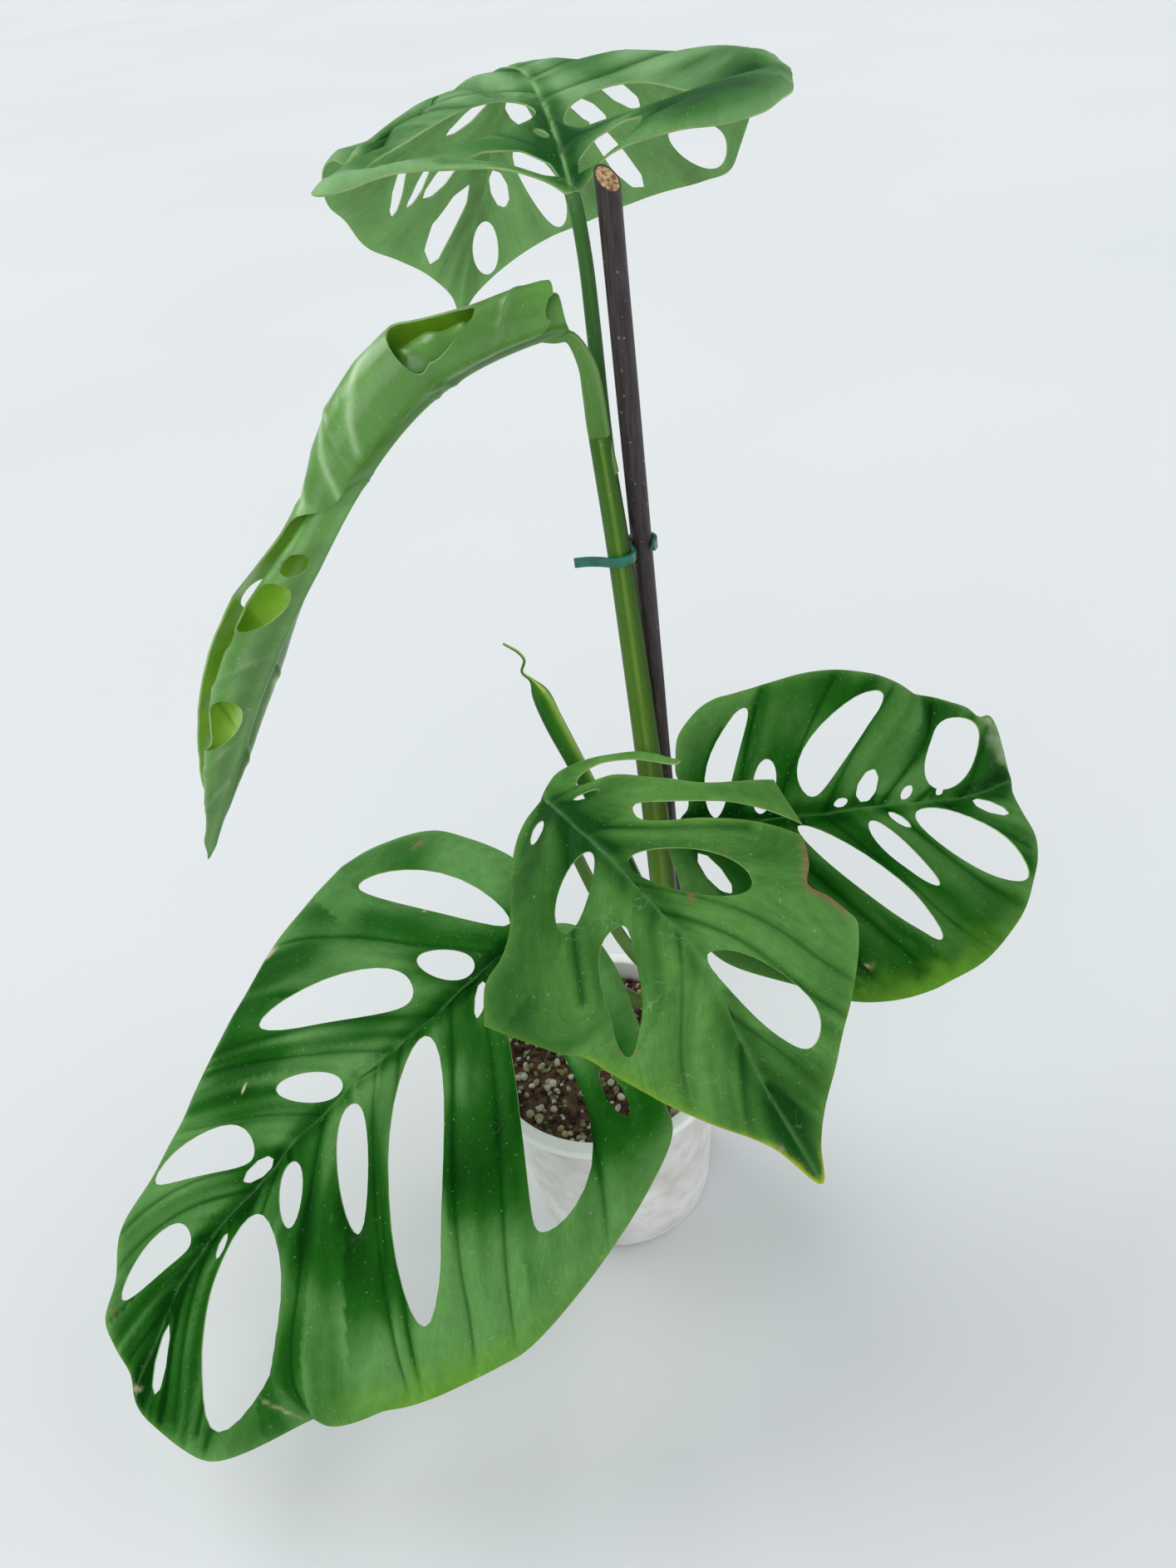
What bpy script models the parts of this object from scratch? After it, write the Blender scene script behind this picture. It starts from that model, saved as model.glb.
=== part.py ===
"""A young Monstera epipremnoides in a frosted plastic nursery pot, tied to a dark stake.

All sizes below are in millimetres; the meshes are made in metres, with +Z up. The origin is the
middle of the pot's flat underside, and the plant leans towards -X, with its faces to -Y.

Each leaf is drawn flat first: x runs along the midrib from the petiole, y to the leaf's right
(to its left for the rows named left). The flat blade is then bent along its midrib in space.
"""
import math

import bmesh
import bpy
import numpy as np
from mathutils import Vector
from mathutils.geometry import delaunay_2d_cdt

NAME = "monstera_epipremnoides"
MM = 0.001
GAP = 0.3                  # clear space kept between pieces that touch

# Pot: a common 10.5 cm nursery pot
POT_TOP = 94.5
POT_RIM_R = 52.5
POT_MOUTH_R = 47.2
POT_FOOT_R = 40.8
POT_WALL = 1.0
RIM_DEPTH = 4.6
FLOOR = 1.4
DRAIN_HOLES = 6
DRAIN_R = 3.2
DRAIN_RING_R = 27.0

# Soil
SOIL_TOP = 85.0
SOIL_RISE = 2.0

# Stake: a straight dark cane with a slanting cut end
STAKE_R = 3.4
STAKE_FOOT = (38.1, 9.8, 58.0)
STAKE_HEAD = (38.9, 8.8, 429.0)
STAKE_CUT = 3.2
STAKE_CUT_WAY = (-0.55, 0.84)     # towards its high side

# Stem: each row is a point of its route and the radius there
STEM = [(34.1, 1.2, 34, 5.0), (34.0, 1.4, 86, 5.4), (33.9, 2.0, 142, 5.2), (33.8, 2.2, 194, 5.0),
        (33.4, 2.4, 236, 4.6), (32.2, 3.0, 288, 4.1), (31.0, 3.8, 328, 3.7), (29.2, 3.6, 364, 3.3)]

# Petioles: the height and the heading in degrees at which each leaves the stem, its route, and
# its radius where it meets the leaf's underside
TOP_PETIOLE = dict(leaves_at=331, heading=82, thick=1.9, end=1.9,
                   route=[(32.0, 10.3, 337, 2.0), (31.5, 10.6, 350, 2.1), (31.2, 11.4, 367, 2.2),
                          (31.4, 12.2, 392, 2.1), (31.2, 11.4, 410, 2.0)])
FRONT_PETIOLE = dict(leaves_at=140, heading=212, thick=2.6, end=1.9,
                     route=[(23.0, -5.2, 147, 2.5), (15.5, -9.5, 168, 2.4), (8.0, -13.0, 198, 2.3),
                            (1.5, -14.5, 228, 2.1), (-2.5, -13.5, 243.5, 2.0)])
SIDE_PETIOLE = dict(leaves_at=148, heading=-28, thick=2.2, end=1.5,
                    route=[(42.6, -2.6, 155, 2.2), (44.0, -3.2, 172, 2.0), (43.4, -1.6, 192, 1.8),
                           (41.8, 1.2, 206, 1.6)])
LOW_PETIOLE = dict(leaves_at=112, heading=178, thick=2.8, end=2.0,
                   route=[(21, 2.8, 114.5, 2.8), (8, 5, 126, 2.6), (-8, 8, 143, 2.3)])
NEW_SHOOT = dict(leaves_at=150, heading=128, thick=2.8,
                 route=[(27.5, 11.0, 160, 3.1), (21.7, 13.0, 184.6, 3.2), (15.3, 14, 210.5, 3.2),
                        (7.6, 14, 239.5, 3.4), (2.2, 14, 259.0, 3.5), (-0.6, 14, 271.0, 3.0),
                        (-2.8, 14, 277.0, 0.8), (-5.4, 14, 280.8, 0.5), (-3.9, 14, 285.3, 0.5),
                        (-5.4, 14, 288.7, 0.5), (-9.8, 14, 293.0, 0.4)])
ROLLED_PETIOLE = [(29.1, 3.6, 364.6, 3.2), (28.7, 3.4, 376, 3.0), (27.8, 3.5, 385, 2.5)]
ROLLED_END = 1.7
SOCKET_R = 5.9             # hole round the stem's foot

# Clip: a flat strip bent round the front of the stem and the back of the stake
CLIP_Z = 325.0
CLIP_HEIGHT = 3.0
CLIP_THICK = 0.9
CLIP_ROUTE = [(17.0, 2.6), (21.0, 2.2), (25.0, 0.9), (28.0, -0.5), (31.2, -0.9), (34.6, 0.4),
              (35.9, 3.6), (34.9, 6.8), (34.5, 9.8), (36.4, 12.9), (40.6, 13.0), (42.8, 10.9),
              (43.1, 7.9), (41.9, 5.6)]

# Leaves
BLADE = 0.8                # thickness of a blade
LATTICE = 13.0             # spacing of the points inside an open blade
ROLL_LATTICE = (9.0, 3.4)  # the same for the rolled leaf, along and across

# size: the leaf's scale, against the flat drawing below
# midrib: its route; the second point is the petiole's joint, and what lies before it guides the
#   basal lobes
# side: at an x, the direction of the leaf's right
# bend: rows of x, then the fold at the midrib in degrees, right and left, and the curl across in
#   degrees per 100 mm, right and left
# right, left: the margins, where a point given twice is a sharp corner
# windows: root, tip, width, place of the widest part, sideways bow
LEAF_LOW = dict(
    size=1.0,
    midrib=[(2, 19, 168), (-24, 7, 160), (-58, -13, 148), (-102, -32, 128), (-144, -51, 100),
            (-173, -69, 80), (-198, -101, 52)],
    side=[(0, (-0.47, 0.87, 0.10)), (90, (-0.46, 0.88, 0.10)), (145, (-0.51, 0.86, 0.08)),
          (190, (-0.67, 0.74, 0.02)), (237, (-0.78, 0.63, -0.03))],
    bend=[(0, 8, 8, -22, -22), (240, 8, 8, -22, -22)],
    right=[(0, 2), (-14, 4), (-21, 14), (-17, 32), (-9, 54), (2, 78), (20, 95), (38, 99), (58, 97),
           (88, 86), (116, 72), (146, 56), (174, 43), (190, 40), (204, 31), (217, 27), (224, 17),
           (229, 6)],
    left=[(0, 2), (-14, 5), (-22, 18), (-22, 38), (-17, 58), (-8, 80), (6, 98), (30, 109),
          (56, 118), (84, 121), (113, 114), (134, 107), (153, 98), (178, 87), (203, 79),
          (223, 63), (235, 45), (238, 22), (238, 6)],
    windows_right=[((0, 9), (37, 80), 17, 0.65, 6), ((22, 4), (37, 26), 13, 0.4, 0),
                   ((47, 15), (109, 56), 21, 0.3, 3), ((91, 3), (115, 25), 12, 0.4, 0),
                   ((131, 3), (147, 7), 7, 0.4, 0), ((136, 12), (175, 41), 18, 0.35, 4),
                   ((176, 9), (208, 24), 14, 0.3, 2)],
    windows_left=[((146, 12), (226, 45), 40, 0.45, 9), ((163, 4), (173, 8), 4, 0.5, 0),
                  ((124, 5), (138, 26), 13, 0.4, 0), ((91, 6), (113, 50), 15, 0.35, 0),
                  ((53, 4), (110, 92), 24, 0.45, 0), ((23, 3), (34, 15), 5, 0.4, 0),
                  ((20, 18), (54, 96), 20, 0.7, 6), ((14, 66), (19, 86), 7, 0.5, 0),
                  ((205, 3), (230, 9), 7, 0.6, 0)])
LEAF_FRONT = dict(
    size=0.94,
    midrib=[(-10.6, 13, 248), (-4, -17.3, 251), (14.8, -50.2, 248.2), (37.3, -84, 232.3),
            (46.7, -102.8, 208.8), (63.6, -124.4, 171.2)],
    side=[(-30, (-0.92, -0.36, -0.18)), (40, (-0.88, -0.42, -0.24)), (90, (-0.90, -0.37, -0.23)),
          (170, (-0.93, -0.30, -0.22))],
    bend=[(0, -5, -5, -10, -10), (180, -5, -5, -10, -10)],
    right=[(0, 2), (3, 10), (10, 20), (19, 29), (34, 42), (39, 49), (42, 58), (52, 67), (52, 67),
           (72, 58), (94, 49), (106, 43), (118, 33), (134, 20), (150, 8)],
    left=[(-5, 3), (-10, 9), (-11, 17), (-9, 26), (-2, 36), (10, 42), (23, 46), (23, 46), (23, 44),
          (13, 39), (4, 34), (-4, 25), (-3, 16), (2, 12), (8, 25), (24, 36), (35, 43), (43, 52),
          (53, 63), (53, 63), (71, 58), (71, 58), (56, 50), (43, 40), (34, 30), (27, 21), (33, 18),
          (48, 34), (62, 47), (74, 55), (74, 55), (81, 50), (85, 45), (90, 49), (98, 54), (98, 54),
          (118, 43), (134, 29), (148, 15), (159, 6)],
    windows_right=[((32, 3), (48, 28), 11, 0.5, 1), ((59, 13), (105, 35), 13, 0.3, 4),
                   ((8, 6), (14, 15), 4, 0.4, 0)],
    windows_left=[((85, 3), (129, 22), 17, 0.65, 3), ((44, 4), (76, 30), 16, 0.55, 0),
                  ((8, 7), (12, 17), 4, 0.6, 0)])
LEAF_SIDE = dict(
    size=0.88,
    midrib=[(31, 2.8, 214.5), (42.5, 1.9, 213.6), (64.5, -0.9, 211.4), (87.5, -2.5, 211),
            (118.3, -4.2, 211.9), (145.7, -0.7, 206.6), (169.5, 10.8, 200.4)],
    side=[(-30, (-0.10, -0.90, -0.42)), (60, (-0.03, -0.91, -0.42)), (120, (0.16, -0.88, -0.45)),
          (160, (0.30, -0.84, -0.46))],
    bend=[(0, 4, 4, -14, -14), (180, 4, 4, -14, -14)],
    right=[(0, 2), (-6, 8), (-3, 23), (3, 42), (14, 58), (37, 70), (58, 79), (76, 80), (92, 76),
           (105, 70), (118, 57), (129, 43), (138, 34), (143, 26), (144, 14), (146, 5)],
    left=[(0, 2), (3, 6), (3, 13), (-1, 21), (-1, 29), (0, 39), (4, 48), (9, 55), (16, 60), (27, 62),
          (46, 65), (65, 68), (82, 66), (102, 60), (120, 53), (137, 46), (149, 38), (152, 32), (158, 31),
          (156, 16), (152, 6)],
    windows_right=[((48, 4), (94, 59), 13, 0.5, -2), ((77, 6), (98, 37), 9, 0.4, 1),
                   ((85, 3), (93, 11), 4, 0.5, 0), ((97, 4), (129, 40), 20, 0.5, -4),
                   ((124, 2), (137, 13), 6, 0.45, 0), ((7, 14), (20, 32), 7, 0.5, 0)],
    windows_left=[((54, 9), (96, 54), 18, 0.35, 5), ((75, 3), (84, 17), 8, 0.4, 0),
                  ((92, 2), (98, 8), 4, 0.5, 0), ((14, 2), (33, 54), 13, 0.5, 5),
                  ((33, 3), (40, 28), 10, 0.55, 0), ((106, 8), (148, 31), 23, 0.5, 2),
                  ((64, 3), (70, 5), 4, 0.5, 0), ((108, 3), (112, 6), 3, 0.5, 0)])
LEAF_TOP = dict(
    size=1.0,
    midrib=[(33, -15, 428), (30, 10, 427), (28, 36, 436), (25, 66, 443), (20, 86, 445),
            (13, 98, 429), (6, 101, 410), (-1, 102, 393), (-8, 96, 374)],
    side=[(-20, (1, 0.30, 0.05)), (60, (1, 0.35, 0.02)), (100, (1, 0.30, 0)), (180, (1, 0.20, 0))],
    bend=[(0, 8, 8, -12, -20), (25, 4, 2, -9, -22), (60, -5, -5, -3, -44), (100, -5, -5, -4, -50),
          (130, 0, -5, -14, -34), (180, 0, -5, -20, -30)],
    right=[(0, 2), (6, 6), (12, 11), (17, 20), (19, 32), (19, 46), (24, 59), (36, 69), (52, 76),
           (64, 84), (64, 84), (80, 88), (96, 88), (105, 86), (109, 76), (115, 58), (126, 37),
           (133, 25), (144, 12), (154, 4)],
    left=[(0, 2), (6, 5), (12, 14), (17, 30), (19, 48), (17, 64), (24, 67), (42, 60), (66, 55),
          (92, 57), (114, 61), (126, 57), (138, 46), (147, 36), (149, 24), (151, 14), (156, 4)],
    windows_right=[((33, 4), (53, 50), 13, 0.5, -6), ((8, 3), (29, 25), 7, 0.5, -1),
                   ((93, 2), (101, 12), 6, 0.5, 0), ((92, 22), (99, 38), 5, 0.5, 0),
                   ((86, 30), (94, 48), 5, 0.5, 0),
                   ((98, 31), (113, 55), 6, 0.6, -1), ((99, 60), (103, 83), 9, 0.6, 0),
                   ((108, 8), (128, 30), 10, 0.55, 1), ((115, 2), (126, 9), 6, 0.5, 0),
                   ((131, 3), (147, 7), 9, 0.55, 0)],
    windows_left=[((8, 2), (21, 25), 7, 0.5, -3), ((42, 3), (28, 53), 29, 0.4, -8),
                  ((24, 2), (30, 5), 3, 0.5, 0), ((91, 4), (105, 17), 5, 0.5, 0),
                  ((90, 17), (99, 27), 4, 0.5, 0), ((120, 5), (148, 13), 8, 0.6, 2),
                  ((112, 10), (126, 21), 5, 0.5, 0), ((114, 20), (130, 26), 3, 0.5, 0),
                  ((114, 29), (134, 30), 4, 0.5, 1)])
LEAF_ROLLED = dict(
    size=1.0,
    midrib=[(30, 4, 393), (24, 4, 395), (8, 0, 394), (-13, -6, 388), (-35, -13, 372),
            (-55, -20, 349), (-75, -26, 323), (-92, -33, 296), (-109, -41, 266)],
    side=[(-20, (0.1, 1, 0.1)), (25, (0.05, 1, 0.1)), (60, (0.15, 1, -0.1)),
          (95, (0.4, 0.85, -0.3)), (130, (0.62, 0.6, -0.5)), (240, (0.66, 0.5, -0.55))],
    bend=[(0, 0, 0, 909, 1246), (24, 0, 0, 855, 1194), (38, 0, 0, 603, 868), (50, 0, 0, 603, 868),
          (60, 0, 0, 651, 924), (72, 0, 0, 774, 1102), (84, 0, 0, 1005, 1432),
          (96, 0, 0, 924, 1246), (108, 0, 0, 754, 1005), (120, 0, 0, 610, 819),
          (134, 0, 0, 551, 754), (150, 0, 0, 562, 774), (162, 0, 0, 637, 895),
          (172, 0, 0, 785, 1146), (182, 0, 0, 1102, 1685), (192, 0, 0, 2204, 3581)],
    right=[(0, 2), (3, 10), (4, 24), (9, 35), (24, 38), (38, 52), (50, 53), (60, 49), (72, 41),
           (80, 34), (85, 28), (92, 23), (108, 27), (120, 35), (134, 39), (150, 37), (162, 32),
           (172, 25), (182, 16), (190, 6), (197, 1)],
    left=[(0, 2), (2, 8), (3, 18), (12, 25), (24, 26), (38, 35), (50, 36), (60, 33), (72, 28),
          (84, 21), (96, 24), (108, 30), (120, 36), (134, 40), (150, 39), (162, 33), (172, 25),
          (182, 15), (190, 6), (197, 1)],
    windows_right=[((23, 20), (41, 47), 11, 0.4, -4), ((0, 23), (7, 31), 5, 0.5, 0),
                   ((112, 14), (124, 30), 9, 0.5, 0)],
    windows_left=[((97, 3), (105, 9), 6, 0.5, 0), ((108, 4), (127, 17), 11, 0.5, 0),
                  ((128, 14), (140, 26), 8, 0.5, 0), ((147, 4), (166, 16), 12, 0.5, 0)])


def material(name, colour, roughness, metallic=0.0):
    """One Principled material."""
    made = bpy.data.materials.new(name)
    made.use_nodes = True
    shader = made.node_tree.nodes["Principled BSDF"]
    shader.inputs["Base Color"].default_value = (*colour, 1.0)
    shader.inputs["Roughness"].default_value = roughness
    shader.inputs["Metallic"].default_value = metallic
    return made


def add(name, data, collection, look=None):
    """One named object in a collection."""
    made = bpy.data.objects.new(name, data)
    collection.objects.link(made)
    if look:
        data.materials.append(look)
    return made


def as_mesh(name, source, collection, look=None):
    """Replace an object by the mesh that its modifiers or curve give."""
    bpy.context.view_layer.update()
    graph = bpy.context.evaluated_depsgraph_get()
    mesh = bpy.data.meshes.new_from_object(source.evaluated_get(graph))
    mesh.materials.clear()
    bpy.data.objects.remove(source)
    work = bmesh.new()
    work.from_mesh(mesh)
    bmesh.ops.remove_doubles(work, verts=work.verts, dist=0.01 * MM)
    bmesh.ops.recalc_face_normals(work, faces=work.faces)
    work.to_mesh(mesh)
    work.free()
    return add(name, mesh, collection, look)


def smooth(points, per=16):
    """Points of a smooth curve through the given points."""
    p = np.asarray(points, float)
    p = np.vstack([2 * p[0] - p[1], p, 2 * p[-1] - p[-2]])
    out = []
    for i in range(1, len(p) - 2):
        a, b, c, d = p[i - 1:i + 3]
        s = [max(np.linalg.norm(v), 1e-9) ** 0.5 for v in (b - a, c - b, d - c)]
        u = np.linspace(0, 1, per, endpoint=False)[:, None]
        m1 = s[1] * ((b - a) / s[0] - (c - a) / (s[0] + s[1]) + (c - b) / s[1])
        m2 = s[1] * ((c - b) / s[1] - (d - b) / (s[1] + s[2]) + (d - c) / s[2])
        out.append((2 * u**3 - 3 * u**2 + 1) * b + (u**3 - 2 * u**2 + u) * m1
                   + (-2 * u**3 + 3 * u**2) * c + (u**3 - u**2) * m2)
    return np.vstack(out + [p[-2]])


class Sheet:
    """The middle surface of a bent blade: from flat (x, y) to a place in the air."""

    def __init__(self, leaf):
        c = smooth(leaf["midrib"])
        step = np.linalg.norm(np.diff(c, axis=0), axis=1)
        self.x = np.r_[0, np.cumsum(step)] - step[:16].sum()
        self.length = self.x[-1]
        t = np.gradient(c, axis=0)
        t /= np.linalg.norm(t, axis=1)[:, None]
        at, way = zip(*leaf["side"])
        way = np.array(way, float)
        r = np.stack([np.interp(self.x, at, way[:, k]) for k in range(3)], 1)
        r -= (r * t).sum(1)[:, None] * t
        r /= np.linalg.norm(r, axis=1)[:, None]
        self.c, self.t, self.r, self.n = c, t, r, np.cross(r, t)
        self.bend = np.array(leaf["bend"], float)

    def frame(self, x):
        """The midrib's point and its directions along, right and up, at x."""
        def lerp(a):
            return np.stack([np.interp(x, self.x, a[:, k]) for k in range(3)], -1)

        def unit(a):
            return a / np.linalg.norm(a, axis=-1)[..., None]
        past = x - np.clip(x, self.x[0], self.x[-1])
        t = unit(lerp(self.t))
        return lerp(self.c) + t * past[..., None], t, unit(lerp(self.r)), unit(lerp(self.n))

    def at(self, x, y):
        """Places of flat points: the section across the midrib is an arc of true length."""
        x, y = np.broadcast_arrays(np.asarray(x, float), np.asarray(y, float))
        c, _, r, n = self.frame(x)
        away = np.abs(y)

        def pick(right, left):
            return np.where(y >= 0, np.interp(x, self.bend[:, 0], self.bend[:, right]),
                            np.interp(x, self.bend[:, 0], self.bend[:, left]))
        fold, curl = np.radians(pick(1, 2)), np.radians(pick(3, 4)) / 100
        curl = np.where(np.abs(curl) < 1e-7, 1e-7, curl)
        across = (np.sin(fold + curl * away) - np.sin(fold)) / curl
        up = (np.cos(fold) - np.cos(fold + curl * away)) / curl
        return c + r * (np.sign(y) * across)[..., None] + n * up[..., None]


def drop(root, tip, width, belly, bow, count):
    """Outline of one window: a drop from its root at the midrib to its tip near the margin."""
    root, tip = np.array(root, float), np.array(tip, float)
    axis = tip - root
    length = np.linalg.norm(axis)
    axis /= length
    across = np.array([-axis[1], axis[0]])
    out = []
    for i in range(count):
        a = 2 * math.pi * i / count
        u = 0.5 - 0.5 * math.cos(a)
        along = u + (belly - 0.5) * 3.2 * u * (1 - u)
        out.append(root + axis * length * along
                   + across * (width / 2 * math.sin(a) + bow * 4 * u * (1 - u)))
    return np.array(out)


def outlines(leaf, length, margin_points=2, hole_points=12):
    """The blade's edge and its windows as closed rows of flat points."""
    size = leaf["size"]
    edge = list(leaf["right"]) + [(length / size, 0)] + [(x, -y) for x, y in leaf["left"]][::-1]
    edge = smooth(edge, margin_points) * size
    edge = edge[np.linalg.norm(edge - np.roll(edge, 1, axis=0), axis=1) > 0.1]
    holes = []
    for side, rows in ((1, leaf["windows_right"]), (-1, leaf["windows_left"])):
        for (a, b), (c, d), width, belly, bow in rows:
            count = hole_points if width > 8 else 8
            hole = drop((a, side * b), (c, side * d), width, belly, side * bow, count)
            holes.append(hole * size)
    return edge, holes


def inside(points, ring):
    """Which of the points lie inside a closed ring."""
    x, y = points[:, 0], points[:, 1]
    hit = np.zeros(len(points), bool)
    for (ax, ay), (bx, by) in zip(ring, np.roll(ring, -1, axis=0)):
        if ay != by:
            hit ^= ((ay > y) != (by > y)) & (x < ax + (bx - ax) * (y - ay) / (by - ay))
    return hit


def clear_of(points, ring, distance):
    """Which of the points stay a distance away from a closed ring."""
    keep = np.ones(len(points), bool)
    for a, b in zip(ring, np.roll(ring, -1, axis=0)):
        run = b - a
        k = np.clip(((points - a) @ run) / max(run @ run, 1e-9), 0, 1)
        keep &= np.linalg.norm(points - (a + k[:, None] * run), axis=1) > distance
    return keep


def flat_blade(edge, holes, spacing):
    """Triangles of the flat blade, with its windows left open."""
    step_x, step_y = spacing
    low, high = edge.min(axis=0), edge.max(axis=0)
    rows = np.arange(-round(-low[1] / step_y), round(high[1] / step_y) + 1)
    lattice = np.array([(x + (row % 2) * step_x / 2, row * step_y)
                        for row in rows for x in np.arange(low[0], high[0], step_x)])
    lattice = lattice[inside(lattice, edge)]
    for ring in [edge] + holes:
        lattice = lattice[clear_of(lattice, ring, 0.42 * min(step_x, step_y))]
        if ring is not edge:
            lattice = lattice[~inside(lattice, ring)]
    verts, edges = [], []
    for ring in [edge] + holes:
        first = len(verts)
        verts += [Vector(p) for p in ring]
        edges += [(first + i, first + (i + 1) % len(ring)) for i in range(len(ring))]
    verts += [Vector(p) for p in lattice]
    places, _, faces, *_ = delaunay_2d_cdt(verts, edges, [], 0, 1e-4)
    flat = np.array([tuple(p) for p in places])
    faces = np.array([tuple(f) for f in faces])
    middle = flat[faces].mean(axis=1)
    keep = inside(middle, edge)
    for ring in holes:
        keep &= ~inside(middle, ring)
    return flat, faces[keep]


def leaf(name, shape, collection, look, spacing=(LATTICE, LATTICE * 0.87)):
    """One blade: the flat triangles bent in space and thickened alike on both faces."""
    sheet = Sheet(shape)
    edge, holes = outlines(shape, sheet.length)
    flat, faces = flat_blade(edge, holes, spacing)
    places = sheet.at(flat[:, 0], flat[:, 1]) * MM
    mesh = bpy.data.meshes.new(name)
    mesh.from_pydata(places.tolist(), [], faces.tolist())
    work = bmesh.new()
    work.from_mesh(mesh)
    bmesh.ops.delete(work, geom=[v for v in work.verts if not v.link_faces], context="VERTS")
    bmesh.ops.recalc_face_normals(work, faces=work.faces)
    work.to_mesh(mesh)
    work.free()
    made = add(name, mesh, collection, look)
    shell = made.modifiers.new("Blade", "SOLIDIFY")
    shell.thickness = BLADE * MM
    shell.offset = 0
    mesh.shade_smooth()
    mesh.set_sharp_from_angle(angle=math.radians(50))
    return made


def stalk(name, rows, collection, look, sides=2, per=5):
    """A round stem along a smooth route, with its own radius at each point."""
    route = smooth(rows, per)
    curve = bpy.data.curves.new(name, "CURVE")
    curve.dimensions = "3D"
    curve.bevel_depth = MM
    curve.bevel_resolution = sides
    curve.use_fill_caps = True
    line = curve.splines.new("POLY")
    line.points.add(len(route) - 1)
    for point, (x, y, z, radius) in zip(line.points, route):
        point.co = (x * MM, y * MM, z * MM, 1)
        point.radius = max(radius, 0.4)
    return add(name, curve, collection, look)


def from_stem(height, heading, radius):
    """The first two points of a stalk, which leaves the stem square to its side."""
    route = smooth(STEM)
    x, y, around = (np.interp(height, route[:, 2], route[:, k]) for k in (0, 1, 3))
    way = np.array([math.cos(math.radians(heading)), math.sin(math.radians(heading)), 0.12])
    start = np.array([x, y, height]) + way * (around + GAP + 0.1)
    return [(*start, radius), (*(start + way * 0.7 * radius), radius)]


def under(shape, radius):
    """The last two points of a stalk, which ends along the underside of its leaf's midrib."""
    c, _, _, n = Sheet(shape).frame(np.array([-0.5, 5.0]))
    return [(*p, radius) for p in c - n * (radius + BLADE / 2 + GAP + 0.2)]


def petiole(name, plan, shape, collection, look):
    """One petiole, from the stem to its leaf."""
    rows = from_stem(plan["leaves_at"], plan["heading"], plan["thick"]) + plan["route"]
    return stalk(name, rows + under(shape, plan["end"]), collection, look)


def turned(name, profile, collection, look, steps=48):
    """A round body turned from its profile, which runs down the outside first."""
    mesh = bpy.data.meshes.new(name)
    count = len(profile)
    closed = profile[0][0] > 0
    pairs = [(i, i + 1) for i in range(count - 1)] + ([(count - 1, 0)] if closed else [])
    mesh.from_pydata([(r * MM, 0, z * MM) for r, z in profile], pairs, [])
    made = add(name, mesh, collection, look)
    screw = made.modifiers.new("Turn", "SCREW")
    screw.steps = screw.render_steps = steps
    screw.use_merge_vertices = True
    screw.merge_threshold = 0.0001
    screw.use_normal_calculate = True
    return made


def inner_radius(z):
    """Inside of the pot's wall at a height."""
    low = POT_FOOT_R - POT_WALL - 0.6
    return low + (POT_MOUTH_R - low) * (z - FLOOR) / (POT_TOP - FLOOR)


def cut(target, cutters):
    """Cut holes into an object."""
    for cutter in cutters:
        cutter.hide_render = True
        cutter.display_type = "WIRE"
        tool = target.modifiers.new("Cut", "BOOLEAN")
        tool.operation = "DIFFERENCE"
        tool.object = cutter


def rod(name, low, high, radius, collection, sides=24):
    """A straight round bar between two points."""
    low, high = Vector(low) * MM, Vector(high) * MM
    mesh = bpy.data.meshes.new(name)
    work = bmesh.new()
    bmesh.ops.create_cone(work, cap_ends=True, segments=sides, radius1=radius * MM,
                          radius2=radius * MM, depth=(high - low).length)
    work.to_mesh(mesh)
    work.free()
    made = add(name, mesh, collection)
    made.location = (low + high) / 2
    made.rotation_mode = "QUATERNION"
    made.rotation_quaternion = (high - low).to_track_quat("Z", "Y")
    return made


def build_pot(collection, cutters, look):
    """The pot: a thin tapered wall, a rim turned down into a lip, and a floor with drains."""
    lip = POT_TOP - RIM_DEPTH
    profile = [(POT_RIM_R - 0.7, POT_TOP), (POT_RIM_R, POT_TOP - 0.7), (POT_RIM_R, lip),
               (POT_RIM_R - 1.0, lip), (POT_RIM_R - 1.0, POT_TOP - 1.4),
               (POT_MOUTH_R + POT_WALL + 0.6, POT_TOP - 1.4),
               (POT_MOUTH_R + POT_WALL, POT_TOP - 2.2),
               (POT_FOOT_R + 0.6, 4.0), (POT_FOOT_R, 1.6), (POT_FOOT_R - 1.4, 0.2),
               (POT_FOOT_R - 2.0, 0.0), (0.0, 0.0), (0.0, FLOOR), (inner_radius(FLOOR) - 2.2, FLOOR),
               (inner_radius(FLOOR) - 0.6, FLOOR + 0.8), (inner_radius(4.0), 4.0),
               (inner_radius(POT_TOP - 0.8), POT_TOP - 0.8), (POT_MOUTH_R + 0.6, POT_TOP)]
    outer, inner = profile[:12], profile[12:]
    pot = turned("pot", outer + inner, collection, look)
    holes = []
    for i in range(DRAIN_HOLES):
        turn = 2 * math.pi * i / DRAIN_HOLES
        x, y = DRAIN_RING_R * math.cos(turn), DRAIN_RING_R * math.sin(turn)
        holes.append(rod(f"drain_{i}", (x, y, -3), (x, y, FLOOR + 3), DRAIN_R, cutters, 16))
    cut(pot, holes)
    return pot


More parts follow.
